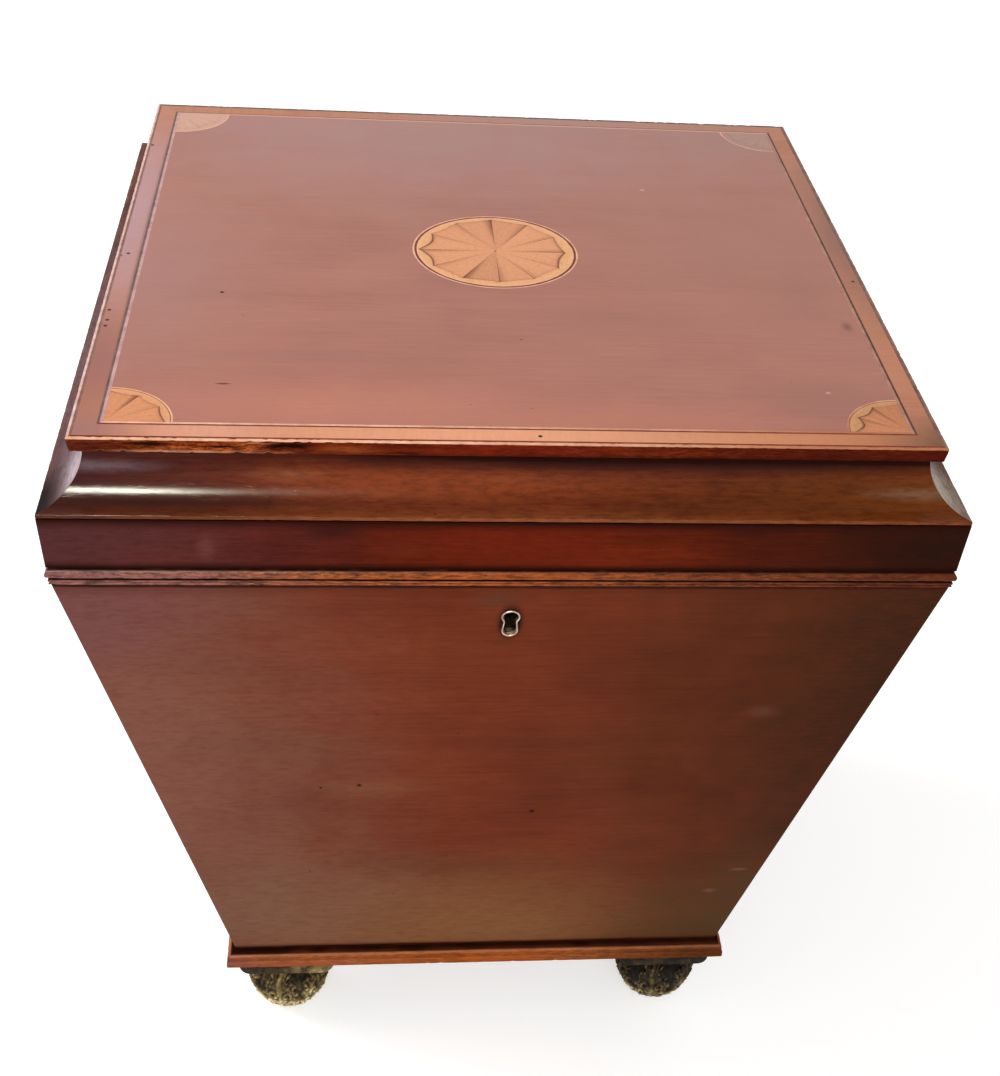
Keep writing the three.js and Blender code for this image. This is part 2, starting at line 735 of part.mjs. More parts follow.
function addTop() {
  const underHalf = topBoardHalf - topBoardUndercut;
  const board = leaningBlock(underHalf, topBoardHalf, cavettoTop, topBoardTop);
  place(lid, "lid_top_board", board, mahogany);
  place(lid, "top_field_veneer", plate(fieldOutline(), topBoardTop, lidTop), topMahogany);
  const ring = square(bandInnerHalf);
  ring.holes.push(square(fieldHalf));
  place(lid, "top_stringing", plate(ring, topBoardTop, lidTop), satinwood);
  place(lid, "top_patera", plate(circle(pateraRadius), topBoardTop, lidTop), satinwood);
  const band = outline([
    [bandInnerHalf, topBoardTop],
    [topBoardHalf, topBoardTop],
    [topBoardHalf, lidTop],
    [bandInnerHalf, lidTop],
  ]);
  const corners = ["front_left", "front_right", "back_right", "back_left"];
  corners.forEach((corner, index) => {
    const fan = plate(fanOutline(), topBoardTop, lidTop);
    place(lid, "corner_fan_" + corner, fan, satinwood, index * quarterTurn);
  });
  for (const side of sides) {
    place(lid, "crossband_" + side, mitredRun(band), crossbandWood, turnOf(side));
  }
}

addBoards();
addBase();
addHinges();
addRimBeads();
addFeet();
addLining();
addDividers();
addLock();
addLinkPlate();
addLidBeads();
addLidSides();
addTop();

// The hinge knuckles stand behind the lid, so the cabinet sits a little forward of the middle.
cellarette.position.y = -(hingeAxisY + knuckleRadius - lidWidestHalf) / 2;

export default cellarette;
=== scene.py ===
"""A square tapered bottle box in mahogany, with an inlaid sarcophagus lid and cast brass feet."""

import math

import bmesh
import bpy
from mathutils import Matrix, Vector, noise


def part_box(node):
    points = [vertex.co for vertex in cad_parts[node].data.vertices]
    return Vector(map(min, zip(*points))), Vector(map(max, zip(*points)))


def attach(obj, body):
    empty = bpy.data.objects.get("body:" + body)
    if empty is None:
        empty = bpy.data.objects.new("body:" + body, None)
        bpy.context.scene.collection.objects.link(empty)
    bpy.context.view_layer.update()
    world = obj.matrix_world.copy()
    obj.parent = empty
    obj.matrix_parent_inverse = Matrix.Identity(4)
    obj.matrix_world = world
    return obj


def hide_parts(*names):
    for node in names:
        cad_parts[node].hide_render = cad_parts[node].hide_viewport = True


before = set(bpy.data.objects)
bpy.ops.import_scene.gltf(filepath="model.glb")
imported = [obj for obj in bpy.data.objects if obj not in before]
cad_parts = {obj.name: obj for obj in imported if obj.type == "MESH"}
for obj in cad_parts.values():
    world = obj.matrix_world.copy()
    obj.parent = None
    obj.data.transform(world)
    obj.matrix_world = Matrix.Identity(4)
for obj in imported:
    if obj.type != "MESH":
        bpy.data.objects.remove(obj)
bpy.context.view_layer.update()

MM = 0.001
QUARTER = math.pi / 2
SIDES = ["front", "right", "back", "left"]
SQUARE = [(-1, -1), (1, -1), (1, 1), (-1, 1)]
# Points nearer to each other than MERGE are one, and a point within SLACK of a cut lies on it.
MERGE = 0.001 * MM
SLACK = 0.01 * MM

# The box is square, and its middle lies a little forward of the origin.
SLAB_LOW, SLAB_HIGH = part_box("lid_top_board")
MIDDLE = Vector((0, (SLAB_LOW.y + SLAB_HIGH.y) / 2, 0))
SLAB_HALF = SLAB_HIGH.x
MITRE_GAP = 0.15 * MM

# Levels, read from the frame
BASE_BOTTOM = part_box("bottom_board")[0].z
BODY_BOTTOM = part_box("bottom_board")[1].z
BODY_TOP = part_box("left_panel")[1].z
RIM_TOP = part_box("rim_bead_left")[1].z
LID_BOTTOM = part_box("lid_bead_left")[0].z
BEAD_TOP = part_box("lid_bead_left")[1].z
FRIEZE_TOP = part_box("lid_frieze_left")[1].z
HOLLOW_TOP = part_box("lid_cavetto_left")[1].z
SLAB_TOP = SLAB_HIGH.z
LID_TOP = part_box("top_field_veneer")[1].z

# Body and lid, measured out from the middle
BODY_TOP_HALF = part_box("left_panel")[1].y - MIDDLE.y + MITRE_GAP
BODY_TAPER = 75 * MM
BODY_BOTTOM_HALF = BODY_TOP_HALF - BODY_TAPER
BOARD = 17 * MM
RIM_INNER_HALF = BODY_TOP_HALF - BOARD
LEAN = math.atan((BODY_TOP_HALF - BODY_BOTTOM_HALF) / (BODY_TOP - BODY_BOTTOM))
WIDEST_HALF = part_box("lid_frieze_left")[1].y - MIDDLE.y + MITRE_GAP
FRIEZE_FLARE = 1.6 * MM
FRIEZE_HALF = WIDEST_HALF - FRIEZE_FLARE
HOLLOW_DRAW_IN = 22.3 * MM
HOLLOW_TOP_HALF = WIDEST_HALF - HOLLOW_DRAW_IN
HOLLOW_WALL = 16.7 * MM
HOLLOW_FILLET = 2 * MM


def linear(colour):
    """An sRGB hex colour as the linear values that a shader takes."""
    shares = [int(colour[i : i + 2], 16) / 255 for i in (1, 3, 5)]
    return [s / 12.92 if s <= 0.04045 else ((s + 0.055) / 1.055) ** 2.4 for s in shares] + [1.0]


def smooth_step(low, high, value):
    share = min(max((value - low) / (high - low), 0), 1)
    return share * share * (3 - 2 * share)


def per_metre(*sizes_mm):
    """The scale at which a pattern's cells have these sizes along X, Y and Z."""
    return [1 / (size * MM) for size in sizes_mm]


# Shader nodes. A Mix of two colours takes its share and the colours at these inputs, and the mixed colour
# is at this output.
SHARE, FIRST, SECOND = 0, 6, 7
MIXED = 2


def add(tree, kind, inputs=None, stops=None, **settings):
    """Adds a node. An input is a value, a hex colour, or another node's output to link."""
    node = tree.nodes.new(kind)
    for name, value in settings.items():
        setattr(node, name, value)
    for socket, value in (inputs or {}).items():
        if isinstance(value, bpy.types.NodeSocket):
            tree.links.new(value, node.inputs[socket])
        else:
            node.inputs[socket].default_value = linear(value) if isinstance(value, str) else value
    for index, (place, colour) in enumerate(stops or []):
        elements = node.color_ramp.elements
        element = elements[index] if index < 2 else elements.new(place)
        element.position = place
        element.color = linear(colour)
    return node


def new_material(name):
    """A material and its empty tree."""
    material = bpy.data.materials.new(name)
    material.use_nodes = True
    material.node_tree.nodes.clear()
    return material, material.node_tree


def show(tree, **inputs):
    """Ends a tree in a Principled shader with these inputs, named with _ for a space."""
    named = {name.replace("_", " "): value for name, value in inputs.items()}
    shader = add(tree, "ShaderNodeBsdfPrincipled", named)
    add(tree, "ShaderNodeOutputMaterial", {"Surface": shader.outputs[0]})


def stretched_noise(tree, sizes_mm, detail=3.0, roughness=0.5, offset=(0, 0, 0)):
    """Noise on Object coordinates, whose cells have these sizes along X, Y and Z."""
    coordinates = add(tree, "ShaderNodeTexCoord")
    inputs = {"Vector": coordinates.outputs["Object"], "Scale": per_metre(*sizes_mm), "Location": offset}
    mapped = add(tree, "ShaderNodeMapping", inputs)
    inputs = {"Vector": mapped.outputs[0], "Scale": 1.0, "Detail": detail, "Roughness": roughness}
    return add(tree, "ShaderNodeTexNoise", inputs).outputs["Fac"]


def specks(tree, sizes_mm, low, high, least=0.0, most=1.0, **settings):
    """Stretched noise sharpened to specks: the least where it is under low, and the most from high up."""
    value = stretched_noise(tree, sizes_mm, **settings)
    inputs = {"Value": value, "From Min": low, "From Max": high, "To Min": least, "To Max": most}
    return add(tree, "ShaderNodeMapRange", inputs, interpolation_type="SMOOTHSTEP").outputs[0]


def laid_over(tree, colour, share, strength, shade):
    """A colour with a shade laid over it, as thickly as the share times the strength."""
    share = add(tree, "ShaderNodeMath", {0: share, 1: strength}, operation="MULTIPLY").outputs[0]
    inputs = {SHARE: share, FIRST: colour, SECOND: shade}
    return add(tree, "ShaderNodeMix", inputs, data_type="RGBA").outputs[MIXED]


def patch(tree, centre_mm, reach_mm, wander, uneven):
    """One at a place on the object, falling softly to nought at its reach along X, Y and Z. The noise
    wander makes its edge as uneven as asked."""
    coordinates = add(tree, "ShaderNodeTexCoord")
    reach = reach_mm if isinstance(reach_mm, tuple) else (reach_mm,) * 3
    inputs = {0: coordinates.outputs["Object"], 1: [c * MM for c in centre_mm]}
    offset = add(tree, "ShaderNodeVectorMath", inputs, operation="SUBTRACT").outputs[0]
    inputs = {0: offset, 1: per_metre(*reach)}
    shares = add(tree, "ShaderNodeVectorMath", inputs, operation="MULTIPLY").outputs[0]
    away = add(tree, "ShaderNodeVectorMath", {0: shares}, operation="LENGTH").outputs["Value"]
    away = add(tree, "ShaderNodeMath", {0: wander, 1: uneven, 2: away}, operation="MULTIPLY_ADD").outputs[0]
    near, far = uneven / 2, 1 + uneven / 2
    inputs = {"Value": away, "From Min": near, "From Max": far, "To Min": 1.0, "To Max": 0.0}
    return add(tree, "ShaderNodeMapRange", inputs, interpolation_type="SMOOTHSTEP").outputs[0]


def patched(tree, colour, patches, uneven):
    """Tones a colour at places on the object: painted light and shade, and where wear or dirt has changed
    it. A patch is its centre and its reach along X, Y and Z, or all ways, in millimetres, its colour and
    its strength."""
    wander = stretched_noise(tree, [WANDER_MM] * 3, 4.0, 0.6, (6, 2, 9))
    for centre, reach, shade, strength in patches:
        colour = laid_over(tree, colour, patch(tree, centre, reach, wander, uneven), strength, shade)
    return colour


# Mahogany is a red-brown open-grained wood. Its fibres show as long soft streaks, its vessels as short
# dark dashes, and interlocked grain gives it a faint ribbon. French polish over it is thin and glossy.
# Vessels are really about 0.2 mm wide, and are drawn twice as wide so that they show. A pattern along the
# grain has the length and width of its cells here, and one without a grain has one size.
FIBRE_MM = (40, 1.6)
RIBBON_MM = (260, 18)
VESSEL_MM = (7, 0.6)
FLECK_MM = (10, 2.4)
CLOUD_MM = (95, 62)
TORN_MM = (9, 1.4)
SPLINTER_MM = (5, 0.9)
WANDER_MM = 34
SMUDGE_MM = 45
DIRT_MM = 3.2
# How far each pattern sways the tone
FIBRE_SWAY = 0.26
RIBBON_SWAY = 0.14
CLOUD_SWAY = 0.35
UNEVEN = 0.4
# Laid over where a piece is painted dark: painted shade in recesses, gaps and under overhangs, with old
# wax.
SHADE_AND_OLD_WAX = "#220904"
DIRT = "#1E0D08"


def along(direction, sizes):
    """A pattern's length and width as sizes along X, Y and Z, for grain along X, Y or Z."""
    length, width = sizes
    return [length if axis == direction else width for axis in "XYZ"]


def mahogany(
    name,
    direction,
    tones,
    worn="#B5662F",
    worn_shade="#7A3A1C",
    patches=(),
    uneven=UNEVEN,
    fleck=0.35,
    roughness=0.3,
    **gloss,
):
    """Polished mahogany with its grain along X or Y, and its tones from light to dark. The attribute worn
    bares the paler wood, and a second attribute darkens it: painted shade in recesses, gaps and under
    overhangs, with some old wax and dust."""
    light, middle, dark = tones
    material, tree = new_material(name)
    fibre = stretched_noise(tree, along(direction, FIBRE_MM), 5.0, 0.6)
    ribbon = stretched_noise(tree, along(direction, RIBBON_MM), 2.0)
    cloud = stretched_noise(tree, along(direction, CLOUD_MM), 4.0, 0.6)
    tone = 0.0
    for pattern, sway in ((fibre, FIBRE_SWAY), (ribbon, RIBBON_SWAY), (cloud, CLOUD_SWAY)):
        inputs = {0: pattern, 1: sway, 2: tone}
        tone = add(tree, "ShaderNodeMath", inputs, operation="MULTIPLY_ADD").outputs[0]
    stops = [(0.275, dark), (0.475, light), (0.375, middle)]
    colour = add(tree, "ShaderNodeValToRGB", {"Fac": tone}, stops).outputs["Color"]
    vessels = specks(tree, along(direction, VESSEL_MM), 0.6, 0.72, detail=2.0)
    colour = laid_over(tree, colour, vessels, 0.4, dark)
    bare = add(tree, "ShaderNodeAttribute", attribute_name="worn").outputs["Fac"]
    torn = specks(tree, along(direction, TORN_MM), 0.36, 0.5, detail=4.0, roughness=0.7)
    splinter_mm = along(direction, SPLINTER_MM)
    splinters = specks(tree, splinter_mm, 0.4, 0.62, detail=3.0, roughness=0.7, offset=(3, 1, 8))
    bare_colour = laid_over(tree, worn, splinters, 1.0, worn_shade)
    colour = laid_over(tree, colour, bare, torn, bare_colour)
    colour = patched(tree, colour, patches, uneven)
    fleck_mm = along(direction, FLECK_MM)
    flecks = specks(tree, fleck_mm, 0.4, 0.68, detail=5.0, roughness=0.7, offset=(2, 8, 5))
    colour = laid_over(tree, colour, flecks, fleck, dark)
    # Painted shade in recesses, gaps and under overhangs, with some old wax, laid over the wood.
    grime = add(tree, "ShaderNodeAttribute", attribute_name="grimed").outputs["Fac"]
    colour = laid_over(tree, colour, grime, 1.0, SHADE_AND_OLD_WAX)
    dirt = specks(tree, [DIRT_MM] * 3, 0.79, 0.86, detail=1.0, offset=(4, 7, 2))
    colour = laid_over(tree, colour, dirt, 0.7, DIRT)
    height = add(tree, "ShaderNodeMath", {0: vessels, 1: -1.0, 2: fibre}, operation="MULTIPLY_ADD")
    inputs = {"Height": height.outputs[0], "Strength": 0.3, "Distance": 0.05 * MM}
    bump = add(tree, "ShaderNodeBump", inputs)
    glossiest, dullest = roughness * 0.9, roughness * 1.12
    smudge_mm = [SMUDGE_MM] * 3
    smudge = specks(tree, smudge_mm, 0.3, 0.7, glossiest, dullest, roughness=0.6, offset=(1, 3, 5))
    rough = add(tree, "ShaderNodeMath", {0: grime, 1: 0.6, 2: smudge}, operation="MULTIPLY_ADD").outputs[0]
    show(tree, Base_Color=colour, Roughness=rough, Normal=bump.outputs[0], **gloss)
    return material


def both_ways(name, tones, patches=(), **finish):
    """A finish with its grain along X and one along Y, with the same patches or with a list for each."""
    lists = patches if isinstance(patches, dict) else {"X": patches, "Y": patches}
    return {d: mahogany(name + "_" + d.lower(), d, tones, patches=lists[d], **finish) for d in "XY"}


SATIN_GRAIN_MM = (30, 0.7, 1)
SATIN_SPECK_MM = 2.2


def satinwood(name, light, dark, shade):
    """Satinwood is a golden close-grained wood. Hot sand has browned one edge of each piece."""
    material, tree = new_material(name)
    map_of = add(tree, "ShaderNodeTexCoord")
    inputs = {"Vector": map_of.outputs["UV"], "Scale": per_metre(*SATIN_GRAIN_MM)}
    mapped = add(tree, "ShaderNodeMapping", inputs)
    inputs = {"Vector": mapped.outputs[0], "Scale": 1.0, "Detail": 4.0}
    grain = add(tree, "ShaderNodeTexNoise", inputs).outputs["Fac"]
    colour = add(tree, "ShaderNodeValToRGB", {"Fac": grain}, [(0.3, dark), (0.7, light)]).outputs["Color"]
    scorch = add(tree, "ShaderNodeAttribute", attribute_name="scorch").outputs["Fac"]
    colour = laid_over(tree, colour, scorch, 1.0, shade)
    speck = specks(tree, [SATIN_SPECK_MM] * 3, 0.48, 0.78, detail=4.0, roughness=0.7)
    colour = laid_over(tree, colour, speck, 0.3, shade)
    bump = add(tree, "ShaderNodeBump", {"Height": grain, "Strength": 0.2, "Distance": 0.03 * MM})
    show(tree, Base_Color=colour, Roughness=0.36, Normal=bump.outputs[0], Specular_IOR_Level=0.1)
    return material


STAIN_MM = 9


def dyed_line(name, light, dark, patches=()):
    """A string of boxwood or dyed holly: so thin that only its tone shows, broken by small stains."""
    material, tree = new_material(name)
    stain = stretched_noise(tree, [STAIN_MM] * 3, 4.0, 0.65)
    stops = [(0.35, dark), (0.65, light)]
    colour = add(tree, "ShaderNodeValToRGB", {"Fac": stain}, stops).outputs["Color"]
    colour = patched(tree, colour, patches, UNEVEN)
    show(tree, Base_Color=colour, Roughness=0.4, Specular_IOR_Level=0.12)
    return material


CAST_GRIME_MM = 8
PIT_MM = 1.1


def cast_brass(name):
    """Cast brass a long time unpolished: brown-black in its hollows, rubbed yellow on its high points, and
    brighter low down, a painted highlight.
    """
    material, tree = new_material(name)
    relief = add(tree, "ShaderNodeAttribute", attribute_name="relief").outputs["Fac"]
    grime = stretched_noise(tree, [CAST_GRIME_MM] * 3, 5.0, 0.65)
    inputs = {0: grime, 1: 0.7, 2: relief}
    # Rubbed on the high points, with the painted highlight low down carried in the relief attribute.
    rubbed = add(tree, "ShaderNodeMath", inputs, operation="MULTIPLY_ADD").outputs[0]
    stops = [(0.38, "#0E0803"), (1.0, "#F6E6B6"), (0.55, "#40301C"), (0.74, "#8C7848")]
    colour = add(tree, "ShaderNodeValToRGB", {"Fac": rubbed}, stops).outputs["Color"]
    inputs = {"Value": rubbed, "From Min": 0.55, "From Max": 0.95, "To Min": 0.0, "To Max": 0.85}
    metal = add(tree, "ShaderNodeMapRange", inputs, interpolation_type="SMOOTHSTEP").outputs[0]
    inputs = {"Value": rubbed, "From Min": 0.4, "From Max": 0.95, "To Min": 0.75, "To Max": 0.34}
    rough = add(tree, "ShaderNodeMapRange", inputs, interpolation_type="SMOOTHSTEP").outputs[0]
    pits = stretched_noise(tree, [PIT_MM] * 3, 3.0)
    bump = add(tree, "ShaderNodeBump", {"Height": pits, "Strength": 0.5, "Distance": 0.12 * MM}).outputs[0]
    show(tree, Base_Color=colour, Metallic=metal, Roughness=rough, Normal=bump, Specular_IOR_Level=0.2)
    return material


SCRATCH_MM = (12, 0.4, 0.4)


def old_metal(name, bright, dull, roughness, cloud_mm=14):
    """Sheet or turned metal that has tarnished in clouds."""
    material, tree = new_material(name)
    cloud = stretched_noise(tree, [cloud_mm] * 3, 5.0, 0.6)
    stops = [(0.35, dull), (0.65, bright)]
    colour = add(tree, "ShaderNodeValToRGB", {"Fac": cloud}, stops).outputs["Color"]
    dullest, glossiest = roughness * 1.3, roughness * 0.8
    inputs = {"Value": cloud, "From Min": 0.3, "From Max": 0.7, "To Min": dullest, "To Max": glossiest}
    rough = add(tree, "ShaderNodeMapRange", inputs, interpolation_type="SMOOTHSTEP").outputs[0]
    scratch = stretched_noise(tree, SCRATCH_MM, 2.0)
    bump = add(tree, "ShaderNodeBump", {"Height": scratch, "Strength": 0.25, "Distance": 0.03 * MM})
    show(tree, Base_Color=colour, Metallic=0.95, Roughness=rough, Normal=bump.outputs[0])
    return material


BLOOM_MM = 38
DENT_MM = 26


def sheet_lead(name):
    """Sheet lead dressed down with a mallet: dull grey, softly dented, with pale bloom."""
    material, tree = new_material(name)
    bloom = stretched_noise(tree, [BLOOM_MM] * 3, 6.0, 0.65)
    stops = [(0.3, "#6C6E70"), (0.7, "#97989A"), (0.5, "#808285")]
    colour = add(tree, "ShaderNodeValToRGB", {"Fac": bloom}, stops).outputs["Color"]
    dents = stretched_noise(tree, [DENT_MM] * 3, 1.0)
    bump = add(tree, "ShaderNodeBump", {"Height": dents, "Strength": 0.6, "Distance": 1.2 * MM})
    show(tree, Base_Color=colour, Metallic=0.55, Roughness=0.6, Normal=bump.outputs[0])
    return material


# Pieces


def make_piece(bm, name, materials, body, replaced=(), sharp_degrees=32, inner=None):
    """Turns a finished bmesh into a named piece that rides on a body."""
    bmesh.ops.recalc_face_normals(bm, faces=bm.faces)
    mesh = bpy.data.meshes.new(name)
    bm.to_mesh(mesh)
    bm.free()
    for face in mesh.polygons:
        face.use_smooth = True
        if inner:
            face.material_index = int(inner(face.center, face.normal))
    mesh.set_sharp_from_angle(angle=math.radians(sharp_degrees))
    for material in materials:
        mesh.materials.append(material)
    piece = bpy.data.objects.new(name, mesh)
    bpy.context.scene.collection.objects.link(piece)
    flat = piece.modifiers.new("flat_beside_rounds", "WEIGHTED_NORMAL")
    flat.keep_sharp = True
    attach(piece, body)
    if replaced:
        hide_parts(*replaced)


def arc(centre_out, centre_level, reach_out, reach_up, start_degrees, end_degrees, steps):
    """Points of an elliptical arc in a profile, both ends included."""
    points = []
    for step in range(steps + 1):
        turn = math.radians(start_degrees + (end_degrees - start_degrees) * step / steps)
        points.append((centre_out + reach_out * math.cos(turn), centre_level + reach_up * math.sin(turn)))
    return points


def mitred_run(profile, cuts, gap=MITRE_GAP):
    """The front side of a mitred square frame. Profile points are (out from the middle, level)."""
    bm = bmesh.new()
    near = [bm.verts.new((gap - out, -out, level)) for out, level in profile]
    swept = bmesh.ops.extrude_face_region(bm, geom=[bm.faces.new(near)])
    for item in swept["geom"]:
        if isinstance(item, bmesh.types.BMVert):
            item.co.x = -item.co.x
    lengthwise = [e for e in bm.edges if e.verts[0].co.x * e.verts[1].co.x < 0]
    bmesh.ops.subdivide_edges(bm, edges=lengthwise, cuts=cuts)
    bmesh.ops.recalc_face_normals(bm, faces=bm.faces)
    return bm


def turn_to_side(bm, side):
    """Turns a front run to its side and sets it round the middle."""
    turn = Matrix.Rotation(SIDES.index(side) * QUARTER, 3, "Z")
    bmesh.ops.rotate(bm, verts=bm.verts, cent=(0, 0, 0), matrix=turn)
    bmesh.ops.translate(bm, verts=bm.verts, vec=MIDDLE)


def weather(bm, seed, depth, pitch, wear, bare, grime=None):
    """Dents a run with soft noise. wear(point) scales the dents, bare(point) is how far the polish has gone
    there, and grime(point) how dark it is painted: painted shade in recesses, gaps and under overhangs,
    with some dirt; each dent bares the wood a little more."""
    worn = bm.verts.layers.float.new("worn")
    grimed = bm.verts.layers.float.new("grimed")
    offset = Vector((seed * 13.7, seed * 5.1, seed * 2.3))
    bm.normal_update()
    for vert in bm.verts:
        dent = smooth_step(0.12, 0.5, noise.noise(vert.co / pitch + offset)) * wear(vert.co)
        ripple = noise.noise(vert.co / (pitch * 5) - offset)
        vert[worn] = min(1, bare(vert.co) * (0.75 + 0.5 * ripple) + 0.6 * dent)
        patchy = 1 + 0.16 * noise.noise(vert.co / (pitch * 3) + 2 * offset)
        vert[grimed] = min(1, grime(vert.co) * patchy) if grime else 0.0
        vert.co -= vert.normal * depth * dent


def inward(side):
    """Picks the faces of a side that look in at the box's middle, or down under the lid."""
    turn = SIDES.index(side) * QUARTER
    outward = Vector((math.sin(turn), -math.cos(turn), 0))
    return lambda centre, normal: normal.dot(outward) < -0.5


def eased(node, width, least_degrees=40):
    """A copy of a CAD node with its sharp edges eased by a small round."""
    bm = bmesh.new()
    bm.from_mesh(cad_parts[node].data)
    bmesh.ops.remove_doubles(bm, verts=bm.verts, dist=MERGE)
    bmesh.ops.dissolve_limit(bm, angle_limit=math.radians(1), verts=bm.verts, edges=bm.edges)
    least = math.radians(least_degrees)
    sharp = [e for e in bm.edges if e.is_manifold and e.calc_face_angle() > least]
    bmesh.ops.bevel(
        bm,
        geom=sharp,
        offset=width,
        segments=2,
        profile=0.5,
        affect="EDGES",
        material=-1,
        clamp_overlap=True,
    )
    return bm


def turned(points, steps):
    """A shape spun round Z in steps from a line of points that starts and ends on the axis."""
    bm = bmesh.new()
    verts = [bm.verts.new(point) for point in points]
    edges = [bm.edges.new(pair) for pair in zip(verts, verts[1:])]
    bmesh.ops.spin(
        bm,
        geom=[*verts, *edges],
        cent=(0, 0, 0),
        axis=(0, 0, 1),
        angle=math.tau,
        steps=steps,
        use_merge=True,
    )
    bmesh.ops.remove_doubles(bm, verts=bm.verts, dist=MERGE)
    return bm


# Finishes of this box, each with its patches. On the body's front, the greyer mauve brown at its left is a
# painted reflection, the dark at its right is painted shade, and it is greyer and lighter low down; it has
# a few small stains.
ALL_ROUND = 3000
FRONT_PATCHES = [
    ((-255, -215, 260), (250, 200, 420), "#84584A", 0.95),
    ((-240, -235, 430), (130, 60, 90), "#74494A", 0.8),
    ((-130, -180, 110), (170, 60, 140), "#7E5A46", 0.85),
    ((10, -175, 92), (190, 60, 125), "#865B38", 0.9),
    ((-135, -215, 300), (80, 40, 26), "#6A4C3C", 0.35),
    ((-75, -205, 258), (52, 30, 16), "#875A3C", 0.35),
    ((-15, -187, 172), (110, 30, 14), "#5A3422", 0.3),
    ((20, -214, 300), (110, 30, 15), "#5A2C1C", 0.3),
    ((60, -208, 276), (50, 30, 16), "#743F22", 0.3),
    ((275, -225, 330), (310, 200, 600), "#321E0E", 1.0),
    ((192, -180, 90), (150, 90, 140), "#4E3A20", 0.95),
    ((60, -185, 130), (60, 30, 24), "#75482A", 0.3),
    ((154, -219, 330), (16, 12, 9), "#704636", 0.45),
    ((168, -185, 163), (9, 8, 3), "#806050", 0.5),
    ((152, -180, 138), (7, 8, 4), "#806050", 0.5),
    ((-82, -206, 261), 2.2, "#1C0D08", 1.5),
    ((25, -200, 232), 2.4, "#1C0D08", 2.0),
    ((-105, -205, 259), 1.6, "#1C0D08", 1.2),
    ((0, -233, 410.4), (9.6, 14, 18.5), "#1A0B07", 3.0),
    ((-7, -240, 427), (22, 10, 9), "#4E3A2C", 0.5),
]
# Painted shadow along the body's top under the rim bead, fading down the boards, and painted shade
# darkening the body towards its bottom where it meets the base.
BODY_EDGE_SHADE = [
    ((0, 0, 438.3), (ALL_ROUND, ALL_ROUND, 3.6), "#180805", 2.0),
    ((0, 0, 436), (ALL_ROUND, ALL_ROUND, 10), "#4A2013", 0.4),
    ((0, 0, 76.3), (ALL_ROUND, ALL_ROUND, 6), "#280C06", 1.3),
]
# The frieze is the darkest of the woods. The greyed mauve at its left is a painted reflection and the black
# brown at its right painted shade; the black brown along its top and bottom edges is painted shade under
# the fillet and over the bead.
FRIEZE_PATCHES = [
    ((-240, -245, 465), (200, 60, 60), "#523031", 0.85),
    ((0, -245, 465), (130, 40, 40), "#76240E", 0.6),
    ((250, -245, 465), (225, 60, 80), "#241008", 1.0),
    ((-95, -243, 474), (22, 20, 10), "#2E1512", 0.6),
    ((-160, -243, 464), (7, 20, 12), "#7A4A42", 0.5),
    ((-60, -243, 462), (26, 20, 8), "#6E2A12", 0.5),
    ((70, -243, 470), (34, 20, 7), "#3E1409", 0.5),
    ((0, 0, 449), (ALL_ROUND, ALL_ROUND, 6), "#190805", 0.9),
    ((0, 0, 482), (ALL_ROUND, ALL_ROUND, 9), "#220A05", 1.0),
]
# The hollow mouldings have kept a glossy polish, worn orange along the foot of their curve. On the front
# hollow, the brighter middle is painted light, the mauve grey above the glint at the left and the pale
# streak at its right end are painted reflections, and the black brown along its top is painted shadow under
# the slab.
HOLLOW_PATCHES = [
    ((-60, -233, 493), (200, 40, 13), "#984620", 0.85),
    ((-235, -235, 495), (150, 40, 40), "#3A1E22", 0.85),
    ((-190, -240, 485), (150, 30, 8), "#34180F", 0.8),
    ((235, -235, 492), (230, 40, 26), "#763C12", 0.9),
    ((-215, -225, 500), (46, 20, 5), "#78646A", 0.8),
    ((-120, -229, 497), (30, 20, 5), "#A05E3A", 0.5),
    ((60, -222, 505), (230, 12, 10), "#2E0C05", 1.0),
    ((215, -234, 491), (46, 20, 4), "#8A7258", 0.5),
    ((-20, -243, 482.4), (300, 20, 4), "#9A542E", 0.7),
]
# The pale mauve and beige at the ends of the side hollows, and the mauve grey all along the left one, are
# painted reflections; low at its front end the left one is near black.
SIDE_HOLLOW_REFLECTIONS = [
    ((-232, -100, 496), (30, 300, 34), "#7E6C72", 0.95),
    ((-222, -215, 500), (22, 60, 22), "#DCC6CE", 1.0),
    ((-243, -238, 483), (18, 50, 12), "#1C1012", 1.2),
    ((225, -225, 496), (34, 70, 34), "#DCC8B0", 1.0),
]
# The beads are handled most: rubbed to a bright orange on their noses. The pale lines along the tops of
# their rolls are painted highlights, the pinkish white at the left a painted reflection, and the darker
# right painted shade; the black in their quirks is painted shade too.
BEAD_PATCHES = [
    ((-20, -243, 444.5), (160, 30, 12), "#C86426", 0.6),
    ((0, 0, 448.3), (ALL_ROUND, ALL_ROUND, 0.7), "#A85E48", 0.7),
    ((0, 0, 441.5), (ALL_ROUND, ALL_ROUND, 0.5), "#B8694E", 0.8),
    ((0, 0, 438.9), (ALL_ROUND, ALL_ROUND, 0.5), "#94563F", 0.6),
    ((-225, -243, 443), (150, 30, 20), "#94666A", 0.7),
    ((245, -243, 443), (330, 30, 20), "#5E260F", 0.9),
]
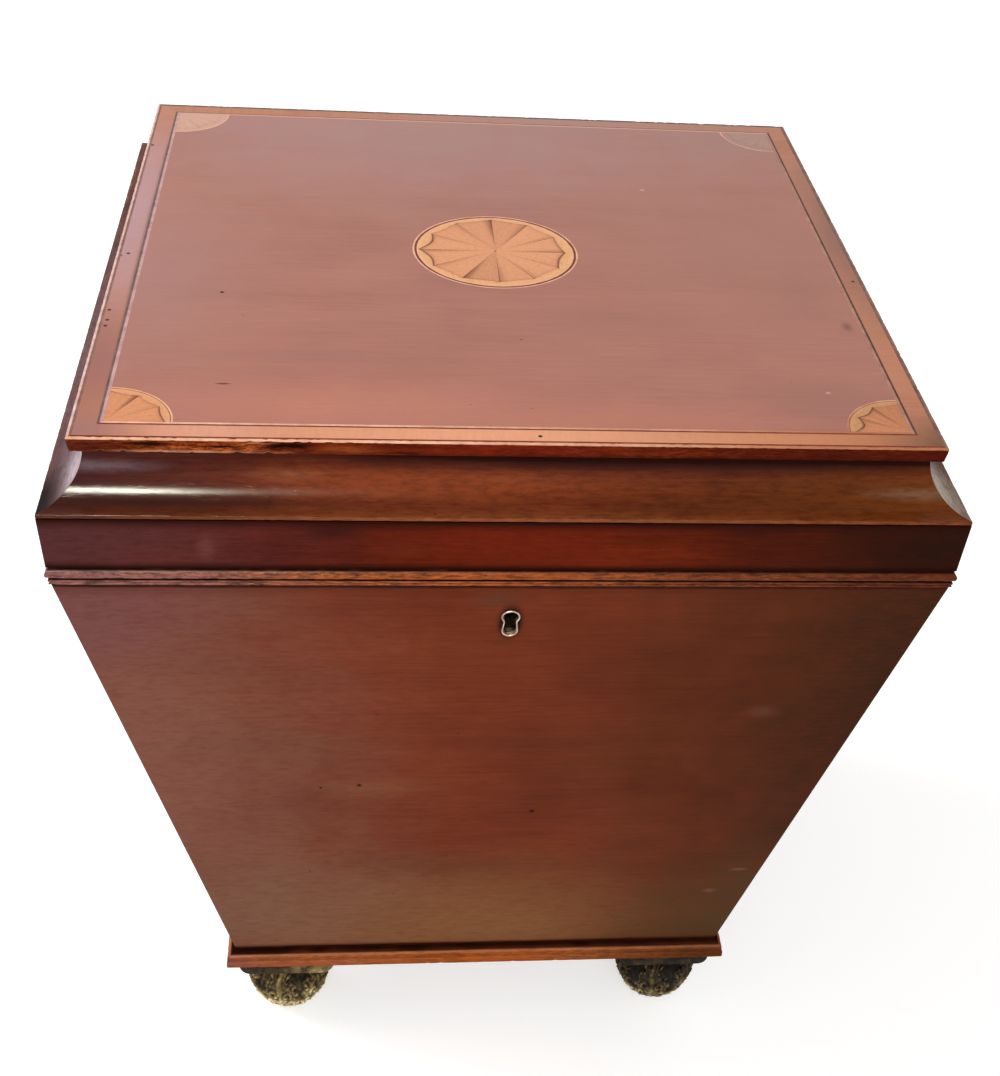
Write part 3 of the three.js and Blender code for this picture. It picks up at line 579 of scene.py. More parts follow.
# The base moulding is an orange brown, worn at its front. The pale lines along the arris at the top of its
# face and along the lip of its cove are painted highlights, the mauve pink at its left end a painted
# reflection, and the dark at its right painted shade; it is darker along its bottom edge.
BASE_PATCHES = [
    ((0, 0, 68.8), (ALL_ROUND, ALL_ROUND, 0.7), "#CC9272", 0.3),
    ((0, 0, 73.5), (ALL_ROUND, ALL_ROUND, 0.7), "#D8946A", 0.7),
    ((-185, -170, 67), (60, 20, 14), "#8A5450", 0.9),
    ((-110, -170, 67), (80, 20, 12), "#A85A34", 0.7),
    ((0, -170, 67), (110, 20, 12), "#B4581C", 0.7),
    ((175, -170, 67), (160, 20, 14), "#4C2406", 0.95),
    ((0, 0, 64.3), (ALL_ROUND, ALL_ROUND, 0.7), "#6A2E18", 0.7),
]
BODY_POLISH = {"fleck": 0.3, "roughness": 0.42, "Specular_IOR_Level": 0.02}
FRONT_TONES = ("#7C3A21", "#70321C", "#602816")
SIDE_TONES = ("#773B23", "#6C321D", "#5A2817")
front_patches = FRONT_PATCHES + BODY_EDGE_SHADE
body_wood = {
    "X": mahogany("french_polished_mahogany_front", "X", FRONT_TONES, patches=front_patches, **BODY_POLISH),
    "Y": mahogany("french_polished_mahogany_side", "Y", SIDE_TONES, patches=BODY_EDGE_SHADE, **BODY_POLISH),
}
frieze_wood = both_ways(
    "darkened_mahogany",
    ("#72280F", "#5C1D0B", "#3A1006"),
    FRIEZE_PATCHES,
    fleck=0.3,
    roughness=0.4,
    Specular_IOR_Level=0.02,
)
hollow_wood = both_ways(
    "glossy_mahogany",
    ("#7E381A", "#5E2410", "#3A0D05"),
    {"X": HOLLOW_PATCHES, "Y": SIDE_HOLLOW_REFLECTIONS},
    worn="#A05E38",
    fleck=0.4,
    roughness=0.17,
    Specular_IOR_Level=0.06,
)
bead_wood = both_ways(
    "rubbed_mahogany",
    ("#B25C30", "#863C1A", "#2A0E08"),
    BEAD_PATCHES,
    worn="#D08048",
    worn_shade="#7A361C",
    fleck=0.8,
    roughness=0.36,
    Specular_IOR_Level=0.06,
)
base_wood = both_ways(
    "orange_mahogany",
    ("#A8562A", "#8E461E", "#4A1E10"),
    BASE_PATCHES,
    worn="#BE6A32",
    worn_shade="#86431C",
    roughness=0.42,
    Specular_IOR_Level=0.03,
)
# The slab's edge is a deep red, with the polish broken away at the left of its front. The greyed mauve
# along its left side is a painted reflection, and it is darker towards the right, painted shade.
SLAB_PATCHES = [
    ((-229, -60, 514), (5, 330, 14), "#76585A", 0.85),
    ((-165, -226, 511.2), (62, 12, 1.3), "#D39A76", 0.85),
    ((-20, -227, 514), (110, 20, 12), "#74200C", 0.7),
    ((240, -227, 514), (210, 30, 20), "#4E120A", 0.9),
    ((-188, -227, 516), (22, 6, 2.0), "#1E0A05", 1.6),
    ((-152, -227, 514.6), (18, 6, 1.6), "#2A0E06", 1.4),
    ((-214, -227, 514), (24, 8, 6), "#4A1A12", 0.8),
    ((-132, -227, 516.6), (16, 6, 1.2), "#DC8650", 1.2),
    ((-88, -227, 514), (26, 6, 4), "#B45A2A", 0.7),
    ((-60, -227, 512), (14, 6, 1.2), "#22100A", 1.0),
]
slab_wood = mahogany(
    "edge_mahogany",
    "X",
    ("#70210E", "#5C1809", "#2A0804"),
    worn="#C8642E",
    worn_shade="#6A220E",
    patches=SLAB_PATCHES,
    uneven=0.9,
    fleck=0.5,
    roughness=0.42,
    Specular_IOR_Level=0.02,
)
# The veneer of the top is pale. The mauve over its back and sides is a painted reflection of the pale
# surroundings in its polish; it is warmer at the front, where a lighter stripe runs along its edge, with a
# few darker clouds and small stains.
FIELD_PATCHES = [
    ((-40, 200, 519), (330, 200, 50), "#AD847C", 0.85),
    ((200, 190, 519), (120, 90, 50), "#AC8478", 0.6),
    ((170, 20, 519), (150, 150, 50), "#AE7666", 0.7),
    ((-220, -40, 519), (110, 170, 50), "#B08078", 0.7),
    ((-90, -195, 519), (170, 42, 50), "#C67E68", 0.9),
    ((60, -205, 519), (140, 24, 50), "#C27A62", 0.7),
    ((-120, -140, 519), (80, 14, 40), "#9C6660", 0.35),
    ((60, -95, 519), (90, 30, 40), "#A26C5E", 0.3),
    ((185, -60, 519), (30, 70, 40), "#A26C5E", 0.3),
    ((165, -180, 519), (50, 34, 40), "#A26C60", 0.6),
    ((-162, -67, 519), 1.8, "#3E201C", 2.0),
    ((-154, -173, 519), (6, 1.4, 3), "#5E302A", 1.5),
    ((105, 99, 519), (3, 1.4, 3), "#E0C0B0", 1.0),
    ((174, -172, 519), (2.4, 2, 3), "#D8B0A0", 0.8),
    ((203, -93, 519), (5, 9, 4), "#7A4C44", 0.8),
]
field_veneer = mahogany(
    "mahogany_veneer_with_reflection",
    "X",
    ("#B67A68", "#B07464", "#A66C5C"),
    patches=FIELD_PATCHES,
    uneven=0.6,
    fleck=0.15,
    roughness=0.36,
    Specular_IOR_Level=0.12,
)
# A crossband is cut across the grain, so its grain runs across its length. Its small holes are old pin
# holes, stopped with dark wax.
PIN_HOLES = [
    (-224.7, -22),
    (-220.3, -19),
    (-226, -55.5),
    (-222.3, -111),
    (-222.1, -104),
    (-222.5, -92),
    (-226, -92),
    (-223.6, 149),
    (10.8, 225.5),
    (10.6, -222),
    (220.7, -32.4),
]
# The crossband is peach at the front. The mauve grey at its left and back is a painted reflection like the
# field's; it is darker at its right and at its front right corner, with a grey line along the inner edge of
# the left band.
BAND_PATCHES = [
    ((-222, 40, 519), (30, 230, 30), "#C0969A", 0.9),
    ((-222, -150, 519), (30, 100, 30), "#9C665E", 0.85),
    ((150, -222, 519), (150, 30, 30), "#C27A4C", 0.9),
    ((-20, -222, 519), (240, 30, 30), "#F4AA80", 0.9),
    ((-160, -222, 519), (60, 30, 30), "#E8A488", 0.8),
    ((225, 40, 519), (30, 190, 30), "#8C6056", 0.85),
    ((60, 222, 519), (230, 30, 30), "#B0847A", 0.85),
    ((228, -228, 519), (50, 40, 20), "#6A4A34", 0.9),
    ((-222, -222, 519), (40, 26, 20), "#A2706A", 0.8),
    ((-212.6, 0, 519), (3.4, 280, 20), "#6E5650", 0.8),
]
BAND_PATCHES += [((x, y, 519), 1.5, "#2A1410", 3.0) for x, y in PIN_HOLES]
band_wood = both_ways(
    "crossband_mahogany",
    ("#C88462", "#C07E5E", "#B07254"),
    BAND_PATCHES,
    worn="#EBB995",
    fleck=0.12,
    roughness=0.36,
    Specular_IOR_Level=0.12,
)
# Inside the box the wood is left from the plane, with no polish: paler, dull and drier.
PLANED_TONES = ("#8F5B3C", "#7C4A30", "#5E3522")
bare_wood = both_ways("planed_mahogany", PLANED_TONES, roughness=0.65, Specular_IOR_Level=0.25)
# The patera's petals are a warm satinwood between paler rim pieces. The corner fans are peach and orange at
# the front; the back ones are paler and greyer with the same painted reflection as the field.
petal_wood = satinwood("sand_shaded_satinwood", "#F1AA7C", "#E2986A", "#743822")
pale_satinwood = satinwood("pale_satinwood", "#FBBE88", "#EAA570", "#8A4C2A")
fan_wood = {
    "front_left": satinwood("peach_satinwood", "#E89E70", "#D98C60", "#6A3420"),
    "front_right": satinwood("orange_satinwood", "#DA9064", "#C47C52", "#5E2E18"),
    "back_left": satinwood("reflection_pale_satinwood", "#DEAE98", "#CC9A82", "#9A6C5C"),
    "back_right": satinwood("reflection_grey_satinwood", "#BA9282", "#AC8272", "#8A6456"),
}
lens_wood = {
    "front_left": satinwood("light_peach_satinwood", "#F0AE7C", "#E0986A", "#8A4C2A"),
    "front_right": satinwood("golden_satinwood", "#DEA272", "#C68858", "#5E2E18"),
    "back_left": fan_wood["back_left"],
    "back_right": fan_wood["back_right"],
}
# The pale strings are brightest at the front left, and have browned towards the right.
STRING_PATCHES = [
    ((230, -222, 519), (330, 60, 30), "#B26C42", 1.0),
    ((222, 40, 519), (30, 300, 30), "#B4846E", 0.9),
]
boxwood = dyed_line("boxwood_string", "#F8C4A2", "#E09C76", STRING_PATCHES)
# The left edge's pale string is pink white with the same painted reflection as the field.
mauve_boxwood = dyed_line("reflection_pink_boxwood_string", "#F4CCC0", "#D8A498")
smoked_boxwood = dyed_line("smoked_boxwood_string", "#6E5038", "#40301E")
dull_boxwood = dyed_line("dulled_boxwood_string", "#F6C4A8", "#DCA082", STRING_PATCHES)
# The dyed strings keep their tone at the front. At the back and left they, and the pale strings there, are
# paler and greyer with the same painted reflection as the field, and at the right they are browner. The
# right edge's two are worn to a brown and a greyer tan.
dark_string = {
    "front": dyed_line("red_dyed_string", "#92341A", "#661C0C"),
    "right": dyed_line("brown_dyed_string", "#6A3C30", "#42241A"),
    "back": dyed_line("reflection_pale_dyed_string", "#96705F", "#7A5448"),
    "left": dyed_line("reflection_grey_dyed_string", "#7E625C", "#5E463E"),
}
worn_brown_string = dyed_line("worn_brown_string", "#8C6250", "#6A4636")
pale_string = {
    "front": dull_boxwood,
    "right": dyed_line("browned_boxwood_string", "#BE8A74", "#A4705E"),
    "back": fan_wood["back_left"],
    "left": dyed_line("reflection_grey_boxwood_string", "#D6AAA4", "#B68884"),
}
worn_edge_string = dyed_line("worn_edge_string", "#96765E", "#745640")
ring_line = dyed_line("dyed_holly_ring", "#843A22", "#5A2416")
fan_line = dyed_line("faded_holly_ring", "#A0664A", "#703C28")
# The keyhole's walls are painted nearly black, the shade deep in the hole, with a small pale glint painted
# low in it.
keyhole_shade_wood = mahogany(
    "keyhole_darkened_mahogany",
    "X",
    ("#1E0F0A", "#180B07", "#0E0604"),
    patches=[((0, -231, 399), (3, 6, 5), "#6E6258", 1.5)],
    roughness=0.6,
    Specular_IOR_Level=0.1,
)
# The metals: feet that are dark but for their rubbed leaves, dull brass on the hinges and the lock, the
# lock's front painted black for the shade seen through the keyhole, a pinkish thin rim at the keyhole, grey
# steel, and the grey of the lining.
foot_metal = cast_brass("patinated_cast_brass")
brass = old_metal("dull_brass", "#C9AE82", "#8A7350", 0.36)
shade_black_brass = old_metal("shade_blackened_brass", "#241A12", "#0C0806", 0.7)
pink_brass = old_metal("worn_escutcheon_brass", "#CDB6A6", "#A08472", 0.42, 5)
steel = old_metal("filed_steel", "#8B8985", "#4C4A47", 0.4)
lead = sheet_lead("dressed_sheet_lead")


def grain_of(side):
    return "X" if side in ("front", "back") else "Y"


def nowhere(point):
    return 0.0


def make_runs(name, node, body, profile, cuts, woods, seed, *weathering):
    """A moulding on all four sides: mitred, weathered and turned to its place. A second wood is for the
    faces that look in."""
    for index, side in enumerate(SIDES):
        bm = mitred_run(profile, cuts)
        weather(bm, seed + index, *weathering)
        turn_to_side(bm, side)
        finishes = [wood[grain_of(side)] for wood in woods]
        inner = inward(side) if len(woods) > 1 else None
        make_piece(bm, name + side, finishes, body, [node + side], inner=inner)


# Body
KEYHOLE_ROOM_HALF = 6 * MM
KEYHOLE_ROOM_DROP = 45 * MM


def keyhole_or_inside(centre, normal):
    """Picks the front board's inner face, and the walls of its keyhole."""
    near = abs(centre.x) < KEYHOLE_ROOM_HALF and centre.z > BODY_TOP - KEYHOLE_ROOM_DROP
    if near and abs(normal.y) < 0.85:
        return 2
    return inward("front")(centre, normal)


def make_boards():
    for side in SIDES:
        node = side + "_panel"
        grain = grain_of(side)
        finishes = [body_wood[grain], bare_wood[grain], keyhole_shade_wood]
        inner = keyhole_or_inside if side == "front" else inward(side)
        board = eased(node, 0.5 * MM)
        make_piece(board, "board_" + side, finishes, "carcass", [node], inner=inner)
    bottom = eased("bottom_board", 0.4 * MM)
    make_piece(bottom, "board_bottom", [bare_wood["X"]], "carcass", ["bottom_board"])


BASE_HALF = BODY_BOTTOM_HALF + 6 * MM
BASE_INNER_HALF = BODY_BOTTOM_HALF - 7 * MM
BASE_FACE_HEIGHT = 4.8 * MM
BASE_STEP = 0.9 * MM
BASE_COVE = 2.9 * MM
ARRIS = 0.5 * MM


def make_base_mouldings():
    upper = BASE_HALF - BASE_STEP
    face_top = BASE_BOTTOM + BASE_FACE_HEIGHT
    profile = [
        (BASE_INNER_HALF, BASE_BOTTOM),
        *arc(BASE_HALF - ARRIS, BASE_BOTTOM + ARRIS, ARRIS, ARRIS, -90, 0, 4),
        *arc(BASE_HALF - ARRIS, face_top - ARRIS, ARRIS, ARRIS, 0, 80, 4),
        (upper, face_top + BASE_STEP),
        *arc(upper - ARRIS, BODY_BOTTOM - BASE_COVE - ARRIS, ARRIS, ARRIS, 0, 90, 4),
        *arc(upper, BODY_BOTTOM, BASE_COVE, BASE_COVE, -100, -180, 8),
        (BASE_INNER_HALF, BODY_BOTTOM),
    ]

    def bare(point):
        below = smooth_step(BODY_BOTTOM - 2.3 * MM, BODY_BOTTOM - 3.1 * MM, point.z)
        return 0.85 * below * smooth_step(BASE_HALF - 4 * MM, BASE_HALF - 2 * MM, -point.y)

    # Painted shade in the cove under the body's overhang, with some dark old polish, and a line of painted
    # shade in the step above the face.
    def grime(point):
        cove_bottom = BODY_BOTTOM - BASE_COVE
        in_cove = 0.86 * smooth_step(cove_bottom + 0.3 * MM, cove_bottom + 0.9 * MM, point.z)
        in_cove += 0.1 * smooth_step(BODY_BOTTOM - 1.6 * MM, BODY_BOTTOM - 0.8 * MM, point.z)
        step = math.exp(-(((point.z - face_top - 0.9 * MM) / (0.4 * MM)) ** 2))
        return in_cove + 0.2 * step

    weathering = (0.35 * MM, 5 * MM, bare, bare, grime)
    make_runs("base_run_", "base_moulding_", "carcass", profile, 150, [base_wood], 1, *weathering)


def nose_wear(nose_out, left_heavy):
    """Wear on the nose of a bead, heavier at the left of the front where left_heavy is set."""

    def wear(point):
        on_nose = smooth_step(nose_out - 1.9 * MM, nose_out - 0.9 * MM, -point.y)
        spread = smooth_step(-20 * MM, -170 * MM, point.x) if left_heavy else 0.3
        return on_nose * (0.5 + 0.5 * spread)

    return wear


def quirk_shade(nose_out, gap_level):
    """Painted shade in the narrow gaps behind and beside a bead, and in the joint between lid and body."""

    def grime(point):
        behind = smooth_step(nose_out - 1.0 * MM, nose_out - 1.9 * MM, -point.y)
        near = smooth_step(nose_out - 4.4 * MM, nose_out - 3.4 * MM, -point.y)
        joint = smooth_step(0.7 * MM, 0.2 * MM, abs(point.z - gap_level))
        return max(behind, joint) * near

    return grime


# How far out from the middle the noses of the two beads reach
RIM_NOSE = BODY_TOP_HALF + 1.2 * MM
LID_NOSE = FRIEZE_HALF + 1 * MM


def rim_profile():
    """Two small rolls, one over the other, with a quirk between them."""
    low_roll, high_roll = 0.75 * MM, 0.95 * MM
    inner = RIM_NOSE - 4.5 * MM
    return [
        (RIM_INNER_HALF, BODY_TOP),
        (inner, BODY_TOP),
        *arc(RIM_NOSE - 0.2 * MM - low_roll, BODY_TOP + low_roll, low_roll, low_roll, -90, 75, 7),
        (RIM_NOSE - 1.5 * MM, RIM_TOP - 2 * high_roll - 0.1 * MM),
        *arc(RIM_NOSE - high_roll, RIM_TOP - high_roll, high_roll, high_roll, -75, 90, 8),
        (inner, RIM_TOP),
        (RIM_INNER_HALF, RIM_TOP),
    ]


def lid_bead_profile():
    """One roll, with the quirk under the frieze over it."""
    roll = 2.9 * MM
    roll_middle = LID_NOSE - roll
    quirk = FRIEZE_HALF - 1.2 * MM
    return [
        (RIM_INNER_HALF, LID_BOTTOM),
        (roll_middle - 1.6 * MM, LID_BOTTOM),
        *arc(roll_middle, LID_BOTTOM + roll, roll, roll, -90, 70, 10),
        (quirk, LID_BOTTOM + 2 * roll),
        (quirk, BEAD_TOP),
        (quirk - 4 * MM, BEAD_TOP),
        (RIM_INNER_HALF, BEAD_TOP),
    ]


def bead_from_node(node, name, body, side):
    """A bead that is cut for metalwork: its CAD node, eased, so that the recesses stay."""
    bm = eased(node, 0.3 * MM, least_degrees=50)
    layer = bm.verts.layers.float.new("worn")
    for vert in bm.verts:
        vert[layer] = 0.35 + 0.3 * noise.noise(vert.co * 40)
    make_piece(bm, name, [bead_wood[grain_of(side)]], body, [node])


def make_beads():
    for index, side in enumerate(SIDES):
        for profile, nose, level, stem, body, seed in (
            (rim_profile(), RIM_NOSE, RIM_TOP, "rim_bead_", "carcass", 20),
            (lid_bead_profile(), LID_NOSE, LID_BOTTOM, "lid_bead_", "lid", 40),
        ):
            name = stem + "run_" + side
            if side == "back":
                bead_from_node(stem + side, name, body, side)
                continue
            bm = mitred_run(profile, 260)
            wear = nose_wear(nose, side == "front")
            weather(bm, seed + index, 0.5 * MM, 2.6 * MM, wear, wear, quirk_shade(nose, level))
            if side == "front":
                cut_for_lock(bm, body)
            turn_to_side(bm, side)
            make_piece(bm, name, [bead_wood[grain_of(side)]], body, [stem + side])


# The room cut for the lock in the body's bead, and for its link plate in the lid's
LOCK_ROOM_HALF = 33.3 * MM
LOCK_ROOM_OUT = 235.3 * MM
LINK_ROOM_HALF = 29.3 * MM
LINK_ROOM_OUT = 233.2 * MM
LINK_ROOM_HEIGHT = 1.6 * MM


def cut_for_lock(bm, body):
    """Lets the lock's metalwork into the inner edge of a front bead."""
    for_case = body == "carcass"
    half, reach = (LOCK_ROOM_HALF, LOCK_ROOM_OUT) if for_case else (LINK_ROOM_HALF, LINK_ROOM_OUT)
    for place, across in (
        ((-half, 0, 0), (1, 0, 0)),
        ((half, 0, 0), (1, 0, 0)),
        ((0, -reach, 0), (0, 1, 0)),
    ):
        geometry = [*bm.verts, *bm.edges, *bm.faces]
        bmesh.ops.bisect_plane(bm, geom=geometry, plane_co=place, plane_no=across)
    bm.normal_update()
    ceiling = LID_BOTTOM + LINK_ROOM_HEIGHT
    for vert in bm.verts:
        inside = abs(vert.co.x) < half - SLACK and -vert.co.y < reach - SLACK
        if inside and for_case:
            vert.co.y = -reach
        elif inside and vert.co.z < ceiling:
            vert.co.z = ceiling


# Lid


def make_friezes():
    line = 0.7 * MM
    flare = FRIEZE_FLARE / (FRIEZE_TOP - BEAD_TOP)
    profile = [
        (RIM_INNER_HALF, BEAD_TOP),
        (FRIEZE_HALF - line, BEAD_TOP),
        (FRIEZE_HALF, BEAD_TOP + line),
        (FRIEZE_HALF + 3 * line * flare, BEAD_TOP + 4 * line),
        (WIDEST_HALF - 3 * line * flare, FRIEZE_TOP - 4 * line),
        (WIDEST_HALF, FRIEZE_TOP - line),
        (WIDEST_HALF - line, FRIEZE_TOP - line),
        (WIDEST_HALF - line, FRIEZE_TOP),
        (RIM_INNER_HALF, FRIEZE_TOP),
    ]

    # Painted shade along the frieze's bottom edge over the bead, and weaker under the fillet at its top.
    def grime(point):
        low = smooth_step(BEAD_TOP + 3 * line, BEAD_TOP, point.z)
        high = smooth_step(FRIEZE_TOP - 3 * line, FRIEZE_TOP - line, point.z)
        return 0.9 * max(low, 0.6 * high)

    woods = [frieze_wood, bare_wood]
    weathering = (0, 5 * MM, nowhere, nowhere, grime)
    make_runs("frieze_board_", "lid_frieze_", "lid", profile, 60, woods, 50, *weathering)


def make_hollows():
    hollow_height = HOLLOW_TOP - FRIEZE_TOP - HOLLOW_FILLET
    inner = HOLLOW_TOP_HALF - HOLLOW_WALL
    fillet_top = FRIEZE_TOP + HOLLOW_FILLET
    profile = [
        (inner, FRIEZE_TOP),
        (WIDEST_HALF, FRIEZE_TOP),
        *arc(WIDEST_HALF - ARRIS, fillet_top - ARRIS, ARRIS, ARRIS, 0, 90, 3),
        *arc(WIDEST_HALF, HOLLOW_TOP, HOLLOW_DRAW_IN, hollow_height, -93, -180, 24),
        (inner, HOLLOW_TOP),
    ]

    def bare(point):
        return 0.6 * smooth_step(WIDEST_HALF - 3.5 * MM, WIDEST_HALF - 1 * MM, -point.y)

    # Painted shadow from the slab's overhang along the top of the hollow, deepening towards the right.
    def grime(point):
        along_right = smooth_step(-170 * MM, 40 * MM, point.x)
        soft = (0.2 + 0.5 * along_right) * smooth_step(HOLLOW_TOP - 13 * MM, HOLLOW_TOP - 4 * MM, point.z)
        return soft + along_right * smooth_step(HOLLOW_TOP - 6.5 * MM, HOLLOW_TOP - 3.8 * MM, point.z)

    woods = [hollow_wood, bare_wood]
    weathering = (0.3 * MM, 3 * MM, bare, bare, grime)
    make_runs("hollow_run_", "lid_cavetto_", "lid", profile, 160, woods, 60, *weathering)


SLAB_UNDERCUT = 1 * MM
# The gouge in the slab's front edge: its place along X, its length and its depth
GOUGE_X, GOUGE_LENGTH, GOUGE_DEPTH = -118 * MM, 12 * MM, 1.7 * MM


def make_slab():
    """The top board: a square turned in four steps, with its front edge broken and gouged at the left."""
    low = HOLLOW_TOP
    under = SLAB_HALF - SLAB_UNDERCUT
    margin = HOLLOW_TOP_HALF - HOLLOW_WALL
    height = SLAB_TOP - low
    profile = [
        (0, low),
        (margin, low),
        *arc(under - ARRIS, low + ARRIS, ARRIS, ARRIS, -90, -10, 3),
        (under + 0.25 * SLAB_UNDERCUT, low + 0.3 * height),
        (under + 0.5 * SLAB_UNDERCUT, low + 0.5 * height),
        (under + 0.75 * SLAB_UNDERCUT, low + 0.7 * height),
        (under + 0.9 * SLAB_UNDERCUT, low + 0.87 * height),
        (SLAB_HALF, SLAB_TOP),
        (margin, SLAB_TOP),
        (0, SLAB_TOP),
    ]
    bm = turned([(-out, -out, level) for out, level in profile], 4)
    level_edges = [e for e in bm.edges if abs(e.verts[0].co.z - e.verts[1].co.z) < MERGE]
    rings = [e for e in level_edges if e.calc_length() > 0.4]
    bmesh.ops.subdivide_edges(bm, edges=rings, cuts=330)
    bmesh.ops.recalc_face_normals(bm, faces=bm.faces)

    def gouge(point):
        along_edge = math.exp(-(((point.x - GOUGE_X) / GOUGE_LENGTH) ** 2))
        middle = math.exp(-(((point.z - low - 0.62 * height) / (0.28 * height)) ** 2))
        return along_edge * middle * smooth_step(SLAB_HALF - 3 * MM, SLAB_HALF - 1.5 * MM, -point.y)

    def broken(point):
        at_front = smooth_step(SLAB_HALF - 4 * MM, SLAB_HALF - 2 * MM, -point.y)
        along_left = smooth_step(-105 * MM, -135 * MM, point.x)
        return at_front * (0.1 + 0.9 * along_left)

    def bare(point):
        at_edge = smooth_step(SLAB_HALF - 3 * MM, SLAB_HALF - 1.5 * MM, max(abs(point.x), abs(point.y)))
        dark_end = 1 - 0.7 * smooth_step(-185 * MM, -215 * MM, point.x)
        ragged = smooth_step(low + 0.3 * height, low, point.z)
        return min(1, 0.1 * at_edge + broken(point) * (0.8 * dark_end + 0.4 * ragged))

    # Painted shade on the lower part of the front edge over the hollow, towards the right, and in the
    # gouge, where it is painted shade with dirt.
    def grime(point):
        over_hollow = smooth_step(low + 0.35 * height, low, point.z) * smooth_step(-100 * MM, 0, point.x)
        return 0.5 * over_hollow + 1.6 * gouge(point)

    weather(bm, 80, 1.0 * MM, 4.5 * MM, broken, bare, grime)
    for vert in bm.verts:
        depth = gouge(vert.co) * (0.6 + 0.8 * noise.noise(vert.co * 400))
        vert.co.y += GOUGE_DEPTH * max(0, depth)
    bmesh.ops.translate(bm, verts=bm.verts, vec=MIDDLE)

    def planed(centre, normal):
        return normal.z < -0.5 and max(abs(centre.x), abs(centre.y)) < under - 6 * MM

    finishes = [slab_wood, bare_wood["X"]]
    make_piece(bm, "slab_top", finishes, "lid", ["lid_top_board"], inner=planed)


BAND_INNER_HALF = SLAB_HALF - 13.6 * MM
FIELD_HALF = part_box("top_field_veneer")[1].x
DARK_STRING = 1.3 * MM
BAND_ROUND = 0.4 * MM
EDGE_STRING = 1.4 * MM
EDGE_LINE = 1.4 * MM


def make_crossbands():
    """Mitred bands round the top, each with a dark hair line and a pale string along its outer arris."""
    band_outer = SLAB_HALF - EDGE_STRING - EDGE_LINE
    line_outer = SLAB_HALF - EDGE_STRING
    string_profile = [
        (line_outer, SLAB_TOP),
        (SLAB_HALF, SLAB_TOP),
        *arc(SLAB_HALF - BAND_ROUND, LID_TOP - BAND_ROUND, BAND_ROUND, BAND_ROUND, 0, 90, 4),
        (line_outer, LID_TOP),
    ]

    def flat_profile(inner, outer):
        return [(inner, SLAB_TOP), (outer, SLAB_TOP), (outer, LID_TOP), (inner, LID_TOP)]

    def chipped(point):
        return 0.5 + 0.5 * smooth_step(-60 * MM, -120 * MM, point.x)

    edge_line = {
        "front": dark_string["front"],
        "right": worn_brown_string,
        "back": smoked_boxwood,
        "left": dark_string["back"],
    }
    edge_string = {
        "front": boxwood,
        "right": worn_edge_string,
        "back": smoked_boxwood,
        "left": mauve_boxwood,
    }
    band_profile = flat_profile(BAND_INNER_HALF, band_outer)
    line_profile = flat_profile(band_outer, line_outer)
    for index, side in enumerate(SIDES):
        across = "Y" if grain_of(side) == "X" else "X"
        for stem, profile, finish, cuts, replaced in (
            ("band_", band_profile, band_wood[across], 40, ["crossband_" + side]),
            ("edge_line_", line_profile, edge_line[side], 40, []),
            ("edge_string_", string_profile, edge_string[side], 260, []),
        ):
            bm = mitred_run(profile, cuts, 0.04 * MM)
            if stem == "edge_string_":
                weather(bm, 90 + index, 0.4 * MM, 2.4 * MM, chipped, nowhere)
            turn_to_side(bm, side)
            make_piece(bm, stem + side, [finish], "lid", replaced)


def veneer(name, columns, rows, place, material, replaced=(), scorch=None):
    """A thin inlay from a grid. place(u, v) gives a corner's X and Y from its shares along and across the
    piece, and scorch(u, v) how brown the hot sand left it."""
    bm = bmesh.new()
    bmesh.ops.create_grid(bm, x_segments=columns, y_segments=rows, size=0.5)
    uv = bm.loops.layers.uv.new("grain")
    shade = bm.verts.layers.float.new("scorch")
    shares = {vert: (vert.co.x + 0.5, vert.co.y + 0.5) for vert in bm.verts}
    for vert, (u, v) in shares.items():
        x, y = place(u, v)
        vert.co = Vector((x, y, LID_TOP)) + MIDDLE
        vert[shade] = scorch(u, v) if scorch else 0.0
    spans = [max(v.co[axis] for v in bm.verts) - min(v.co[axis] for v in bm.verts) for axis in (0, 1)]
    longest = max(spans)
    for face in bm.faces:
        for loop in face.loops:
            u, v = shares[loop.vert]
            loop[uv].uv = (u * longest, v * longest / 2)
    bmesh.ops.remove_doubles(bm, verts=bm.verts, dist=0.002 * MM)
    bmesh.ops.recalc_face_normals(bm, faces=bm.faces)
    if bm.faces[:][0].normal.z < 0:
        bmesh.ops.reverse_faces(bm, faces=bm.faces)
    down = bmesh.ops.extrude_face_region(bm, geom=list(bm.faces), use_keep_orig=True)
    for item in down["geom"]:
        if isinstance(item, bmesh.types.BMVert):
            item.co.z = SLAB_TOP
    make_piece(bm, name, [material], "lid", replaced)


def make_strings():
    """Four dark and four pale lines between the bands and the field."""
    dark_inner = BAND_INNER_HALF - DARK_STRING
    for side in SIDES:
        turn = SIDES.index(side) * QUARTER
        for tone, outer, inner, material in (
            ("dark", BAND_INNER_HALF, dark_inner, dark_string[side]),
            ("pale", dark_inner, FIELD_HALF, pale_string[side]),
        ):

            def place(u, v, outer=outer, inner=inner, turn=turn):
                out = inner + (outer - inner) * v
                x, y = (2 * u - 1) * out, -out
                return x * math.cos(turn) - y * math.sin(turn), x * math.sin(turn) + y * math.cos(turn)

            replaced = ["top_stringing"] if tone == "pale" and side == "front" else []
            veneer("string_" + tone + "_" + side, 60, 1, place, material, replaced)


